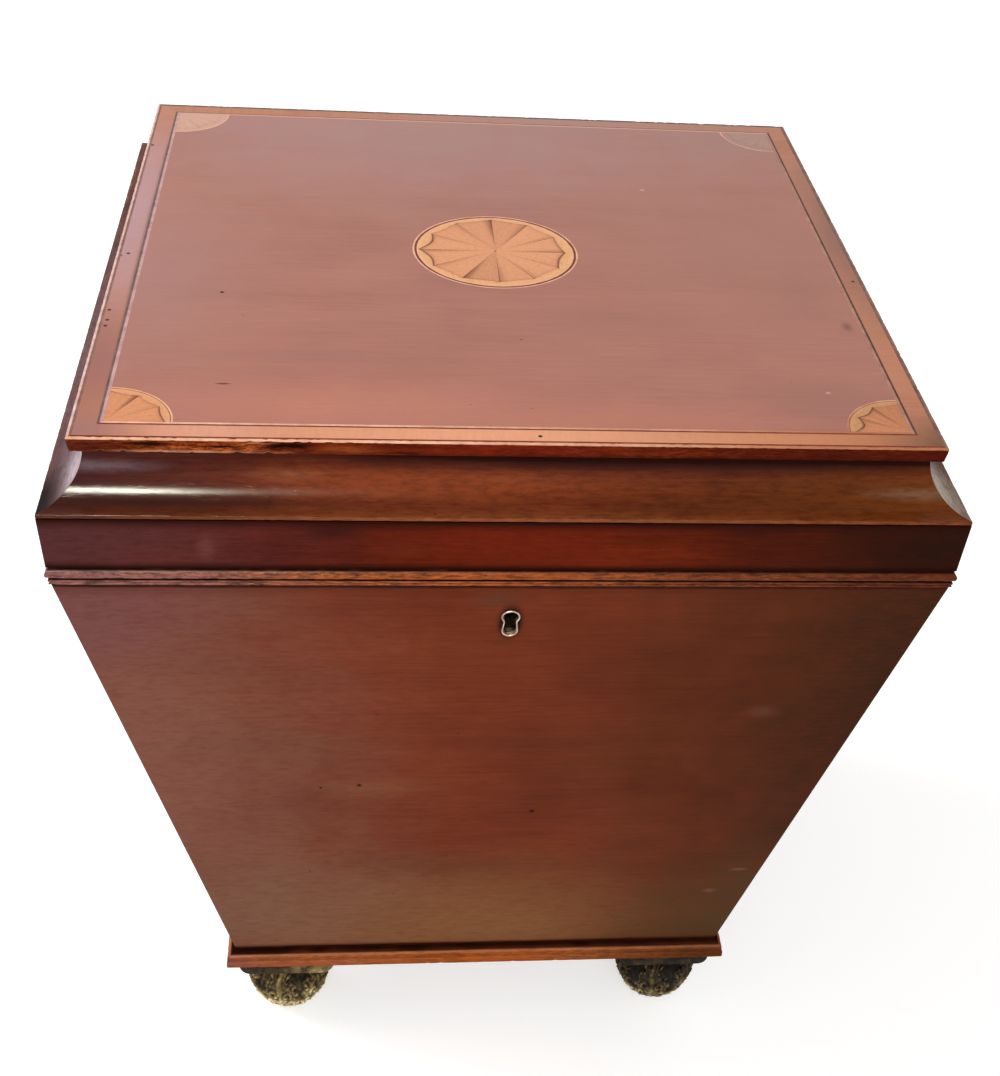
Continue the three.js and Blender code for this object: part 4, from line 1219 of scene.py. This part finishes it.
# The patera: twelve petals with scalloped ends, twelve pale rim pieces and three ring lines. The petals
# were cut by hand, so their points reach out unevenly.
TIP_RADII = [43.5, 44.2, 45.4, 46.4, 45.6, 45.2, 47.6, 45.4, 44.4, 42.8, 43.2, 43.6]
SCALLOP_DEPTHS = [2.7, 2.2, 2.0, 2.2, 2.8, 5.6, 4.6, 2.4, 2.0, 1.8, 2.4, 3.4]
PATERA_LINES = [("pale_outer", 51.25, 50.1), ("dark", 50.1, 48.7), ("pale_inner", 48.7, 48.0)]
RIM_RADIUS = 48.0
SCORCH_WIDTH_SHARE = 0.3
# How strongly the hot sand has marked each petal: along its first long edge, at its end, and all over
PATERA_EDGES = [0.9, 0.5, 0.7, 1.3, 0.4, 0.35, 0.8, 0.45, 1.1, 0.8, 0.5, 0.25]
PATERA_ENDS = [0.7, 0.3, 0.25, 0.3, 0.35, 1.2, 1.1, 0.3, 0.35, 0.3, 0.3, 1.1]
PATERA_TINTS = [0, 0, 0.14, 0.1, 0.05, 0, 0, 0.03, 0.2, 0.06, 0, 0]


def polar(radius, turn, centre=(0, 0)):
    return centre[0] + radius * math.cos(turn), centre[1] + radius * math.sin(turn)


def petal_end(share, first_tip, last_tip, depth):
    """The radius of a scalloped end between two tips: deepest half way."""
    return first_tip + (last_tip - first_tip) * share - depth * math.sin(math.pi * share) ** 0.8


def crowded(share):
    """Crowds the rows of a petal's grid towards its scalloped end, where its shading is sharpest."""
    return 1 - (1 - share) ** 1.8


def petal_scorch(edge, end, tint):
    """Sand shading: dark at one long edge and fading over the petal, with a hair line at both edges."""

    def scorch(u, v):
        out = crowded(u)
        shading = 0.5 * edge * (1 - smooth_step(0, SCORCH_WIDTH_SHARE, v)) * smooth_step(0.1, 0.9, out)
        line = min(1, 0.2 + 0.7 * edge) * (1 - smooth_step(0, 0.045, v)) * smooth_step(0, 0.25, out)
        tip = end * (0.75 * smooth_step(0.972, 0.998, out) + 0.2 * smooth_step(0.9, 1, out))
        return min(1, tint + shading + line + tip + 0.25 * smooth_step(0.985, 1, v))

    return scorch


def rim_scorch(end):
    def scorch(u, v):
        mottle = 0.06 + 0.3 * noise.noise(Vector((9 * u, 3 * v, 7 * end)))
        return max(0, min(1, 0.9 * end * (1 - smooth_step(0, 0.16, v)) + mottle * (1 - v)))

    return scorch


def make_fan(stem, centre, start, tips_mm, depths_mm, step, rim_radius, hub, finishes, marks, replaced):
    """Petals side by side from a start angle, and the pale rim pieces that fill their scallops."""
    closed = step * len(depths_mm) > 6
    for index, depth in enumerate(depths_mm):
        turn = start + index * step
        first_tip = tips_mm[index] * MM
        last_tip = tips_mm[(index + 1) % len(tips_mm) if closed else index + 1] * MM

        def petal(u, v, turn=turn, ends=(first_tip, last_tip, depth * MM)):
            reach = hub + (petal_end(v, *ends) - hub) * crowded(u)
            return polar(reach, turn + v * step, centre)

        def rim(u, v, turn=turn, ends=(first_tip, last_tip, depth * MM)):
            inner = petal_end(u, *ends)
            return polar(inner + (rim_radius - inner) * v, turn + u * step, centre)

        number = str(index + 1)
        first = replaced if index == 0 else []
        edge, end, tint = [values[index] for values in marks]
        scorch = petal_scorch(edge, end, tint)
        veneer(stem + "_petal_" + number, 14, 28, petal, finishes[0], first, scorch)
        veneer(stem + "_rim_" + number, 16, 8, rim, finishes[1], [], rim_scorch(end))


def make_ring_line(name, centre, start, sweep, outer, inner, material):
    def place(u, v):
        return polar(inner + (outer - inner) * v, start + sweep * u, centre)

    veneer(name, max(24, int(120 * sweep / math.tau)), 1, place, material)


def make_patera():
    make_fan(
        "patera",
        (0, 0),
        0,
        TIP_RADII,
        SCALLOP_DEPTHS,
        math.tau / len(TIP_RADII),
        RIM_RADIUS * MM,
        0.6 * MM,
        (petal_wood, pale_satinwood),
        (PATERA_EDGES, PATERA_ENDS, PATERA_TINTS),
        ["top_patera"],
    )
    for tone, outer, inner in PATERA_LINES:
        material = ring_line if tone == "dark" else boxwood
        make_ring_line("patera_line_" + tone, (0, 0), 0, math.tau, outer * MM, inner * MM, material)
    make_ring_line("patera_eye", (0, 0), 0, math.tau, 0.8 * MM, 0.02 * MM, ring_line)


# The corner fans: quarter circles of three petals
FAN_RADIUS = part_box("corner_fan_front_left")[1].x + FIELD_HALF
FAN_TIPS = [30.6, 30.4, 30.0, 30.6]
FAN_DEPTHS = {
    "front_left": [2.0, 2.4, 2.2],
    "front_right": [2.2, 3.6, 5.2],
    "back_right": [2.6, 3.2, 3.0],
    "back_left": [2.6, 3.2, 3.0],
}
FAN_MARKS = {
    "front_left": ([0.1, 0.25, 1.4], [1.0, 0.35, 0.5], [0, 0, 0.05]),
    "front_right": ([0.0, 0.9, 0.7], [0.15, 1.0, 1.2], [0.12, 0.04, 0]),
    "back_right": ([0, 0.2, 0.2], [0.3, 0.3, 0.3], [0, 0, 0]),
    "back_left": ([0, 0.2, 0.1], [0.2, 0.3, 0.1], [0, 0, 0]),
}
FAN_MARGIN = 1.2 * MM
INLAY_GAP = 0.27 * MM


def make_corner_fans():
    """A quarter circle in each corner, with a hair line and a pale line round it, let into the field."""
    outer = FAN_RADIUS - FAN_MARGIN
    pale_inner = outer - 0.9 * MM
    rim = pale_inner - 0.5 * MM
    for index, corner in enumerate(FAN_DEPTHS):
        centre = tuple(share * FIELD_HALF for share in SQUARE[index])
        start = index * QUARTER
        stem = "fan_" + corner
        at_front = corner.startswith("front")
        make_fan(
            stem,
            centre,
            start,
            FAN_TIPS,
            FAN_DEPTHS[corner],
            QUARTER / len(FAN_TIPS[1:]),
            rim,
            0.4 * MM,
            (fan_wood[corner], lens_wood[corner]),
            FAN_MARKS[corner],
            ["corner_fan_" + corner],
        )
        hair = fan_line if at_front else fan_wood[corner]
        pale = boxwood if at_front else dull_boxwood
        make_ring_line(stem + "_line_dark", centre, start, QUARTER, pale_inner, rim, hair)
        make_ring_line(stem + "_line_pale", centre, start, QUARTER, outer, pale_inner, pale)
        margin = FAN_RADIUS + INLAY_GAP
        make_ring_line(stem + "_margin", centre, start, QUARTER, margin, outer, field_veneer)


# Feet: a square flange over a bun cast with upright leaves
FOOT_FLANGE = 10.5 * MM
FOOT_CORNER = 9 * MM
FLAT_RADIUS = 13 * MM
BUN_RADIUS = 28.8 * MM
BUN_LEVEL = 28 * MM
BUN_TAPER = 1.25
NECK_RADIUS = 20 * MM
NECK_LEVEL = 44 * MM
FLARE = 6 * MM
LEAVES = 6
RELIEF = 1.9 * MM
FOOT_STEPS = 216
UNDER_STEPS = 48
# Each half of a leaf carries these scrolls: their places as shares of its width and of its height, and
# their reach
SCROLLS = [
    (0.42, 0.8, 0.13),
    (0.3, 0.5, 0.14),
    (0.66, 0.62, 0.12),
    (0.5, 0.27, 0.16),
    (0.86, 0.4, 0.11),
    (0.0, 0.16, 0.12),
    (0.95, 0.78, 0.1),
]


def scroll_relief(across, rise, eye_across, eye_rise, reach):
    """A small spiral ridge round a drilled eye, with how far it covers the ground below it."""
    over = (across - eye_across) * 0.55
    up = rise - eye_rise
    away = math.hypot(over, up) / reach
    ridge = math.cos(math.tau * 1.35 * away + 1.4 * math.atan2(up, over))
    eye = -1.6 * math.exp(-((away / 0.2) ** 2))
    cover = smooth_step(1.15, 0.8, away)
    return cover, 0.15 + 0.5 * ridge + eye


def leaf_relief(turn, rise):
    """How high the casting stands, from -1 to 1, at a turn round the foot and a share up from its base."""
    sector = math.tau / LEAVES
    spot = Vector((3 * math.cos(turn), 3 * math.sin(turn), 6 * rise))
    rise = max(0, rise + 0.035 * noise.noise(1.7 * spot))
    across = abs(((turn / sector + 0.06 * noise.noise(spot)) % 1) - 0.5) * 2
    lobes = 0.12 * math.sin(9 * math.pi * rise)
    half_width = 0.9 - 0.45 * rise**2.4 + lobes
    inside = smooth_step(half_width + 0.06, half_width - 0.06, across)
    edge = 0.5 * math.exp(-(((across - half_width + 0.1) / 0.07) ** 2))
    stem = 0.15 * math.exp(-((across / 0.07) ** 2)) - 0.4 * math.exp(-(((across - 0.15) / 0.05) ** 2))
    leaf = 0.15 + edge + stem * smooth_step(0.3, 0.42, rise)
    for eye_across, eye_rise, reach in SCROLLS:
        cover, height = scroll_relief(across, rise, eye_across, eye_rise, reach)
        leaf += cover * (height - leaf)
    ground = -0.7 + 0.5 * math.exp(-(((1 - across) / 0.06) ** 2)) * smooth_step(0.5, 0.65, rise)
    chased = 0.35 * noise.noise(3.4 * spot) + 0.2 * noise.noise(8 * spot)
    return max(-1, min(1, inside * leaf + (1 - inside) * ground + chased))


# How far each foot is rubbed bright, all the flanges, and the one corner of them that is chipped
FOOT_TONE = {"front_left": 0.18, "front_right": 0.04, "back_left": 0.13, "back_right": 0.11}
FLANGE_TONE = 0.08
CHIPPED_TONE = 0.34


def foot_profile(flange_bottom):
    """Half of a foot's outline, from its flat underside over the bun and the neck to the flange."""
    under = []
    for step in range(1, UNDER_STEPS + 1):
        turn = QUARTER * step / UNDER_STEPS
        out = FLAT_RADIUS + (BUN_RADIUS - FLAT_RADIUS) * math.sin(turn) ** BUN_TAPER
        under.append((out, BUN_LEVEL * (1 - max(0, math.cos(turn)) ** BUN_TAPER)))
    return [
        (0, 0),
        (FLAT_RADIUS, 0),
        *under,
        *arc(NECK_RADIUS, BUN_LEVEL, BUN_RADIUS - NECK_RADIUS, NECK_LEVEL - BUN_LEVEL, 0, 90, 36)[1:],
        *arc(NECK_RADIUS + FLARE, NECK_LEVEL, FLARE, flange_bottom - NECK_LEVEL, 180, 90, 10)[1:],
        (0, flange_bottom),
    ]


def raise_leaves(bm, layer, tone):
    """Raises the cast leaves on a turned foot, and sets how bright each place is: rubbed on its high
    points, with a painted highlight low down, and a little lighter on the side towards the front.
    """
    bm.normal_update()
    for vert in bm.verts:
        out = math.hypot(vert.co.x, vert.co.y)
        turn = math.atan2(vert.co.y, vert.co.x)
        rise = vert.co.z / (NECK_LEVEL + 4 * MM)
        fade = smooth_step(0.03, 0.14, rise) * smooth_step(1.04, 0.9, rise)
        height = leaf_relief(turn + 0.2, rise) * fade if out > FLAT_RADIUS else 0
        # A painted highlight on the lower part of the bun.
        low_highlight = smooth_step(0.7, 0.15, rise)
        side = 0.08 * math.cos(turn + 1.9)
        rubbed = 0.24 * height + 0.4 * low_highlight * (0.25 + 0.75 * max(height, 0))
        vert[layer] = tone + rubbed + side
        vert.co += vert.normal * RELIEF * (height - 0.35) * fade


def add_flange(bm, layer, half, bottom, chipped):
    """Adds the square flange, with rounded corners and its lower edge eased."""
    square = [bm.verts.new((x * half, y * half, bottom)) for x, y in SQUARE]
    bm.faces.new(square)
    bmesh.ops.bevel(
        bm, geom=square, offset=FOOT_CORNER, segments=8, profile=0.5, affect="VERTICES", material=-1
    )
    level_faces = [f for f in bm.faces if abs(f.calc_center_median().z - bottom) < MERGE]
    flange = max(level_faces, key=lambda f: f.calc_area())
    swept = bmesh.ops.extrude_face_region(bm, geom=[flange])
    raised = [v for v in swept["geom"] if isinstance(v, bmesh.types.BMVert)]
    bmesh.ops.translate(bm, verts=raised, vec=(0, 0, FOOT_FLANGE))
    reach = half - FOOT_CORNER - SLACK
    on_flange = [v for v in bm.verts if max(abs(v.co.x), abs(v.co.y)) > reach and v.co.z > bottom - MERGE]
    for vert in on_flange:
        at_chip = chipped and vert.co.x > 0 and vert.co.y < 0
        vert[layer] = CHIPPED_TONE if at_chip else FLANGE_TONE
    low_verts = [v for v in on_flange if abs(v.co.z - bottom) < MERGE]
    low_edges = [e for e in bm.edges if all(v in low_verts for v in e.verts)]
    sharp = [e for e in low_edges if e.is_manifold and e.calc_face_angle() > 1]
    bmesh.ops.bevel(bm, geom=sharp, offset=0.8 * MM, segments=3, profile=0.5, affect="EDGES", material=-1)


def make_foot(corner):
    node = "foot_" + corner
    low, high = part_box(node)
    centre = (low + high) / 2
    flange_bottom = high.z - FOOT_FLANGE
    bm = turned([(out, 0, level) for out, level in foot_profile(flange_bottom)], FOOT_STEPS)
    bmesh.ops.recalc_face_normals(bm, faces=bm.faces)
    layer = bm.verts.layers.float.new("relief")
    raise_leaves(bm, layer, FOOT_TONE[corner])
    add_flange(bm, layer, (high.x - low.x) / 2, flange_bottom, corner == "front_left")
    bmesh.ops.translate(bm, verts=bm.verts, vec=(centre.x, centre.y, 0))
    make_piece(bm, "cast_" + node, [foot_metal], "carcass", [node], sharp_degrees=40)


def make_feet():
    for corner in FOOT_TONE:
        make_foot(corner)


# Keyhole escutcheon, in the plane of the leaning front board
KEYHOLE_DROP = 22.65 * MM
HEAD_RADIUS = 4.25 * MM
WAIST_HALF = 3 * MM
WAIST_DROP = 4.45 * MM
KEY_FOOT_HALF = 3.65 * MM
KEY_FOOT_DROP = 11.05 * MM
KEY_FOOT_ROUND = 3.9 * MM
HEAD_SHARE = 0.22
OUTLINE_STEPS = 28


def keyhole_outline(grown):
    head_start = -HEAD_SHARE * 180
    foot_level = -KEYHOLE_DROP - KEY_FOOT_DROP
    radius = HEAD_RADIUS + grown
    head = arc(0, -KEYHOLE_DROP, radius, radius, head_start, 180 - head_start, OUTLINE_STEPS)
    waist_level = -KEYHOLE_DROP - WAIST_DROP
    foot = arc(0, foot_level, KEY_FOOT_HALF + grown, KEY_FOOT_ROUND + grown, 180, 360, OUTLINE_STEPS)
    return [*head, (-WAIST_HALF - grown, waist_level), *foot, (WAIST_HALF + grown, waist_level)]


def lean_to_front(bm):
    """Takes a piece drawn upright at the front board's inner top edge to its place in the leaning board."""
    turn = Matrix.Rotation(LEAN, 3, "X")
    bmesh.ops.rotate(bm, verts=bm.verts, cent=(0, 0, 0), matrix=turn)
    bmesh.ops.translate(bm, verts=bm.verts, vec=Vector((0, -RIM_INNER_HALF, BODY_TOP)) + MIDDLE)


def make_escutcheon():
    """A thread escutcheon: a thin drawn brass rim with a rounded lip."""
    face = -BOARD * math.cos(LEAN)
    sections = [(0, 2.5), (0, 0.1), (0.22, -0.22), (0.5, -0.3), (0.78, -0.22), (1, 0.1), (1, 2.5)]
    bm = bmesh.new()
    loops = []
    for grown, depth in sections:
        verts = [bm.verts.new((x, face + depth * MM, z)) for x, z in keyhole_outline(grown * MM)]
        loops.append([bm.edges.new((a, b)) for a, b in zip(verts, verts[1:] + verts[:1])])
    for first, second in zip(loops, loops[1:] + loops[:1]):
        bmesh.ops.bridge_loops(bm, edges=[*first, *second])
    lean_to_front(bm)
    make_piece(bm, "keyhole_rim", [pink_brass], "carcass", ["escutcheon"])


def make_key_pin():
    """The steel pin that a hollow key turns on, seen in the dark of the keyhole."""
    bm = bmesh.new()
    bmesh.ops.create_cone(bm, cap_ends=True, segments=20, radius1=1.3 * MM, radius2=1.1 * MM, depth=9 * MM)
    bmesh.ops.rotate(bm, verts=bm.verts, cent=(0, 0, 0), matrix=Matrix.Rotation(QUARTER, 3, "X"))
    bmesh.ops.translate(bm, verts=bm.verts, vec=(0, -8 * MM, -KEYHOLE_DROP))
    lean_to_front(bm)
    make_piece(bm, "lock_key_pin", [steel], "carcass")


# Lock, hinges and their screws
SCREW_RADIUS = 2.1 * MM
SCREW_STAND = 0.08 * MM
SLOT_HALF = 0.28 * MM
SLOT_DEPTH = 0.5 * MM
SCREW_HALF_DEPTH = 0.6 * MM


def make_screw(name, place, upwards, body, turn_degrees, radius=SCREW_RADIUS):
    """A countersunk slotted screw head, set flush at a place and looking up or down."""
    bm = bmesh.new()
    bmesh.ops.create_cone(
        bm, cap_ends=True, segments=28, radius1=0.6 * radius, radius2=radius, depth=2 * SCREW_HALF_DEPTH
    )
    for x in (-SLOT_HALF, SLOT_HALF):
        geometry = [*bm.verts, *bm.edges, *bm.faces]
        bmesh.ops.bisect_plane(bm, geom=geometry, plane_co=(x, 0, 0), plane_no=(1, 0, 0))
    top = [f for f in bm.faces if f.normal.z > 0.9 and abs(f.calc_center_median().x) < SLOT_HALF]
    sunk = bmesh.ops.extrude_face_region(bm, geom=top)
    lowered = [v for v in sunk["geom"] if isinstance(v, bmesh.types.BMVert)]
    bmesh.ops.translate(bm, verts=lowered, vec=(0, 0, -SLOT_DEPTH))
    bmesh.ops.delete(bm, geom=[f for f in top if f.is_valid], context="FACES")
    bmesh.ops.translate(bm, verts=bm.verts, vec=(0, 0, SCREW_STAND - SCREW_HALF_DEPTH))
    turn = Matrix.Rotation(math.radians(turn_degrees), 3, "Z")
    if not upwards:
        turn = Matrix.Rotation(math.pi, 3, "X") @ turn
    bmesh.ops.rotate(bm, verts=bm.verts, cent=(0, 0, 0), matrix=turn)
    bmesh.ops.translate(bm, verts=bm.verts, vec=place)
    make_piece(bm, name, [brass], body)


def make_hinges():
    for hand in ("left", "right"):
        for leaf, body in (("body", "carcass"), ("lid", "lid")):
            node = "hinge_%s_leaf_%s" % (leaf, hand)
            make_piece(eased(node, 0.15 * MM), "butt_" + leaf + "_" + hand, [brass], body, [node])
            low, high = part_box(node)
            middle = (low.x + high.x) / 2
            row = low.y + 6 * MM
            for index, offset in enumerate((-16, 0, 16)):
                level = RIM_TOP if leaf == "body" else LID_BOTTOM
                place = (middle + offset * MM, row + (3 * MM if offset == 0 else 0), level)
                name = "hinge_screw_%s_%s_%d" % (leaf, hand, index + 1)
                make_screw(name, place, leaf == "body", body, 25 + 40 * index)
        pin = "hinge_pin_" + hand
        make_piece(eased(pin, 0.3 * MM), "butt_pin_" + hand, [steel], "carcass", [pin])


def make_lock():
    case = eased("lock_case", 0.25 * MM)
    # The lock case's front, seen through the keyhole, is painted black as shade.
    faces_in_keyhole_shade = inward("back")
    make_piece(case, "box_lock", [brass, shade_black_brass], "carcass", ["lock_case"], inner=faces_in_keyhole_shade)
    make_piece(eased("lock_bolt", 0.2 * MM), "comb_bolt", [steel], "lock_bolt", ["lock_bolt"])
    plate = eased("lock_link_plate", 0.2 * MM)
    make_piece(plate, "link_plate", [brass], "lid", ["lock_link_plate"])
    low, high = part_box("lock_case")
    for index, x in enumerate((-28, 28)):
        place = (x * MM, low.y + 7 * MM, RIM_TOP)
        make_screw("lock_screw_%d" % (index + 1), place, True, "carcass", 30 + 70 * index, 1.9 * MM)
    low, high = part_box("lock_link_plate")
    for index, x in enumerate((-24, 0, 24)):
        place = (x * MM, (low.y + high.y) / 2, LID_BOTTOM)
        make_screw("link_screw_%d" % (index + 1), place, False, "lid", 15 + 55 * index, 1.7 * MM)


def make_foot_screws():
    """Four screws hold each foot's flange to the base; their heads are on the flange's underside."""
    for corner in FOOT_TONE:
        low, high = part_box("foot_" + corner)
        centre = (low + high) / 2
        for index, (x, y) in enumerate(SQUARE):
            name = "foot_screw_%s_%d" % (corner, index + 1)
            place = (centre.x + x * 25 * MM, centre.y + y * 25 * MM, high.z - FOOT_FLANGE)
            make_screw(name, place, False, "carcass", 20 + 50 * index, 2.4 * MM)


# Inside


def make_inside():
    make_piece(eased("lead_lining", 0.5 * MM), "tub_lining", [lead], "carcass", ["lead_lining"])
    for way, grain in (("across", "X"), ("along", "Y")):
        for number in ("1", "2"):
            node = "bottle_divider_%s_%s" % (way, number)
            bm = eased(node, 0.6 * MM)
            name = "cell_board_%s_%s" % (way, number)
            make_piece(bm, name, [bare_wood[grain]], "carcass", [node])


def make_field():
    """The field's veneer is right as it is, so it only takes its finish."""
    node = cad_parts["top_field_veneer"]
    node.data.materials.clear()
    node.data.materials.append(field_veneer)


# Stage: floor, lamps and camera
FLOOR_HALF = 6.0
FLOOR_GLOW = 0.55
CAMERA_FOCUS_PX = 1709.6
IMAGE_WIDTH_PX, IMAGE_HEIGHT_PX = 1000, 1076
CAMERA_AXIS_PX = (574.5, 553.0)
CAMERA_PLACE_MM = (-77.5, -974.4, 976.9)
CAMERA_YAW, CAMERA_PITCH, CAMERA_ROLL = 0.1469, 0.6100, 0.0900


def seen_directly(tree):
    """One for what the camera sees, also in a reflection or through glass, and nought for the light."""
    path = add(tree, "ShaderNodeLightPath").outputs
    seen = {0: path["Is Camera Ray"], 1: path["Is Glossy Ray"]}
    seen = add(tree, "ShaderNodeMath", seen, operation="MAXIMUM").outputs[0]
    seen = {0: seen, 1: path["Is Transmission Ray"]}
    return add(tree, "ShaderNodeMath", seen, operation="MAXIMUM").outputs[0]


def make_floor():
    """A pale floor that the camera and reflections see as white, with the object's shadow kept."""
    material, tree = new_material("pale_floor")
    glow = add(tree, "ShaderNodeMath", {0: seen_directly(tree), 1: FLOOR_GLOW}, operation="MULTIPLY")
    matt = add(tree, "ShaderNodeBsdfDiffuse", {"Color": "#E6E6E4"})
    light = add(tree, "ShaderNodeEmission", {"Strength": glow.outputs[0]})
    both = add(tree, "ShaderNodeAddShader", {0: matt.outputs[0], 1: light.outputs[0]})
    add(tree, "ShaderNodeOutputMaterial", {"Surface": both.outputs[0]})
    bm = bmesh.new()
    bmesh.ops.create_grid(bm, x_segments=1, y_segments=1, size=FLOOR_HALF)
    mesh = bpy.data.meshes.new("floor")
    bm.to_mesh(mesh)
    bm.free()
    mesh.materials.append(material)
    floor = bpy.data.objects.new("floor", mesh)
    bpy.context.scene.collection.objects.link(floor)


def make_lamp(name, place, target, size, power, colour="#FFFFFF"):
    """A soft rectangular lamp that looks at a point."""
    lamp = bpy.data.lights.new(name, "AREA")
    lamp.shape = "RECTANGLE"
    lamp.size, lamp.size_y = size
    lamp.energy = power
    lamp.color = linear(colour)[:3]
    holder = bpy.data.objects.new(name, lamp)
    holder.location = place
    holder.rotation_euler = (Vector(target) - Vector(place)).to_track_quat("-Z", "Y").to_euler()
    bpy.context.scene.collection.objects.link(holder)
    return holder


SKY_LIGHT = 0.5


def light_stage():
    world = bpy.data.worlds.new("studio")
    world.use_nodes = True
    tree = world.node_tree
    inputs = {0: seen_directly(tree), 1: 1 - SKY_LIGHT, 2: SKY_LIGHT}
    strength = add(tree, "ShaderNodeMath", inputs, operation="MULTIPLY_ADD").outputs[0]
    tree.nodes["Background"].inputs["Color"].default_value = linear("#F6F6F7")
    tree.links.new(strength, tree.nodes["Background"].inputs["Strength"])
    bpy.context.scene.world = world
    window = make_lamp("window", (-2.2, 0.6, 1.9), (0, 0, 0.4), (1.8, 1.4), 52, "#FBFBFF")
    fill = make_lamp("front_fill", (0.0, -2.7, 1.5), (0, 0, 0.3), (2.2, 1.6), 38)
    window.visible_glossy = False
    fill.visible_glossy = False
    glint = make_lamp("glint", (-0.392, -0.901, 1.592), (-0.2, -0.23, 0.49), (0.1, 0.24), 48, "#FFFFE8")
    glint.visible_diffuse = False


def make_camera():
    """The photograph's viewpoint. Its axis meets the image at CAMERA_AXIS_PX."""
    yaw, pitch, roll = CAMERA_YAW, CAMERA_PITCH, CAMERA_ROLL
    forward = Vector((math.sin(yaw) * math.cos(pitch), math.cos(yaw) * math.cos(pitch), -math.sin(pitch)))
    level_right = Vector((math.cos(yaw), -math.sin(yaw), 0))
    level_up = level_right.cross(forward)
    right = math.cos(roll) * level_right + math.sin(roll) * level_up
    up = -math.sin(roll) * level_right + math.cos(roll) * level_up
    lens = bpy.data.cameras.new("photo_camera")
    lens.sensor_width = 36
    lens.lens = CAMERA_FOCUS_PX / IMAGE_HEIGHT_PX * lens.sensor_width
    lens.shift_x = (IMAGE_WIDTH_PX / 2 - CAMERA_AXIS_PX[0]) / IMAGE_HEIGHT_PX
    lens.shift_y = (CAMERA_AXIS_PX[1] - IMAGE_HEIGHT_PX / 2) / IMAGE_HEIGHT_PX
    lens.clip_start = 0.05
    camera = bpy.data.objects.new("photo_camera", lens)
    turn = Matrix((right, up, -forward)).transposed().to_4x4()
    place = Vector(CAMERA_PLACE_MM) * MM
    camera.matrix_world = Matrix.Translation(place) @ turn
    bpy.context.scene.collection.objects.link(camera)
    bpy.context.scene.camera = camera


make_camera()
make_boards()
make_base_mouldings()
make_beads()
make_friezes()
make_hollows()
make_slab()
make_crossbands()
make_field()
make_strings()
make_patera()
make_corner_fans()
make_feet()
make_foot_screws()
make_escutcheon()
make_key_pin()
make_hinges()
make_lock()
make_inside()
make_floor()
light_stage()
bpy.context.scene.view_settings.view_transform = "Standard"
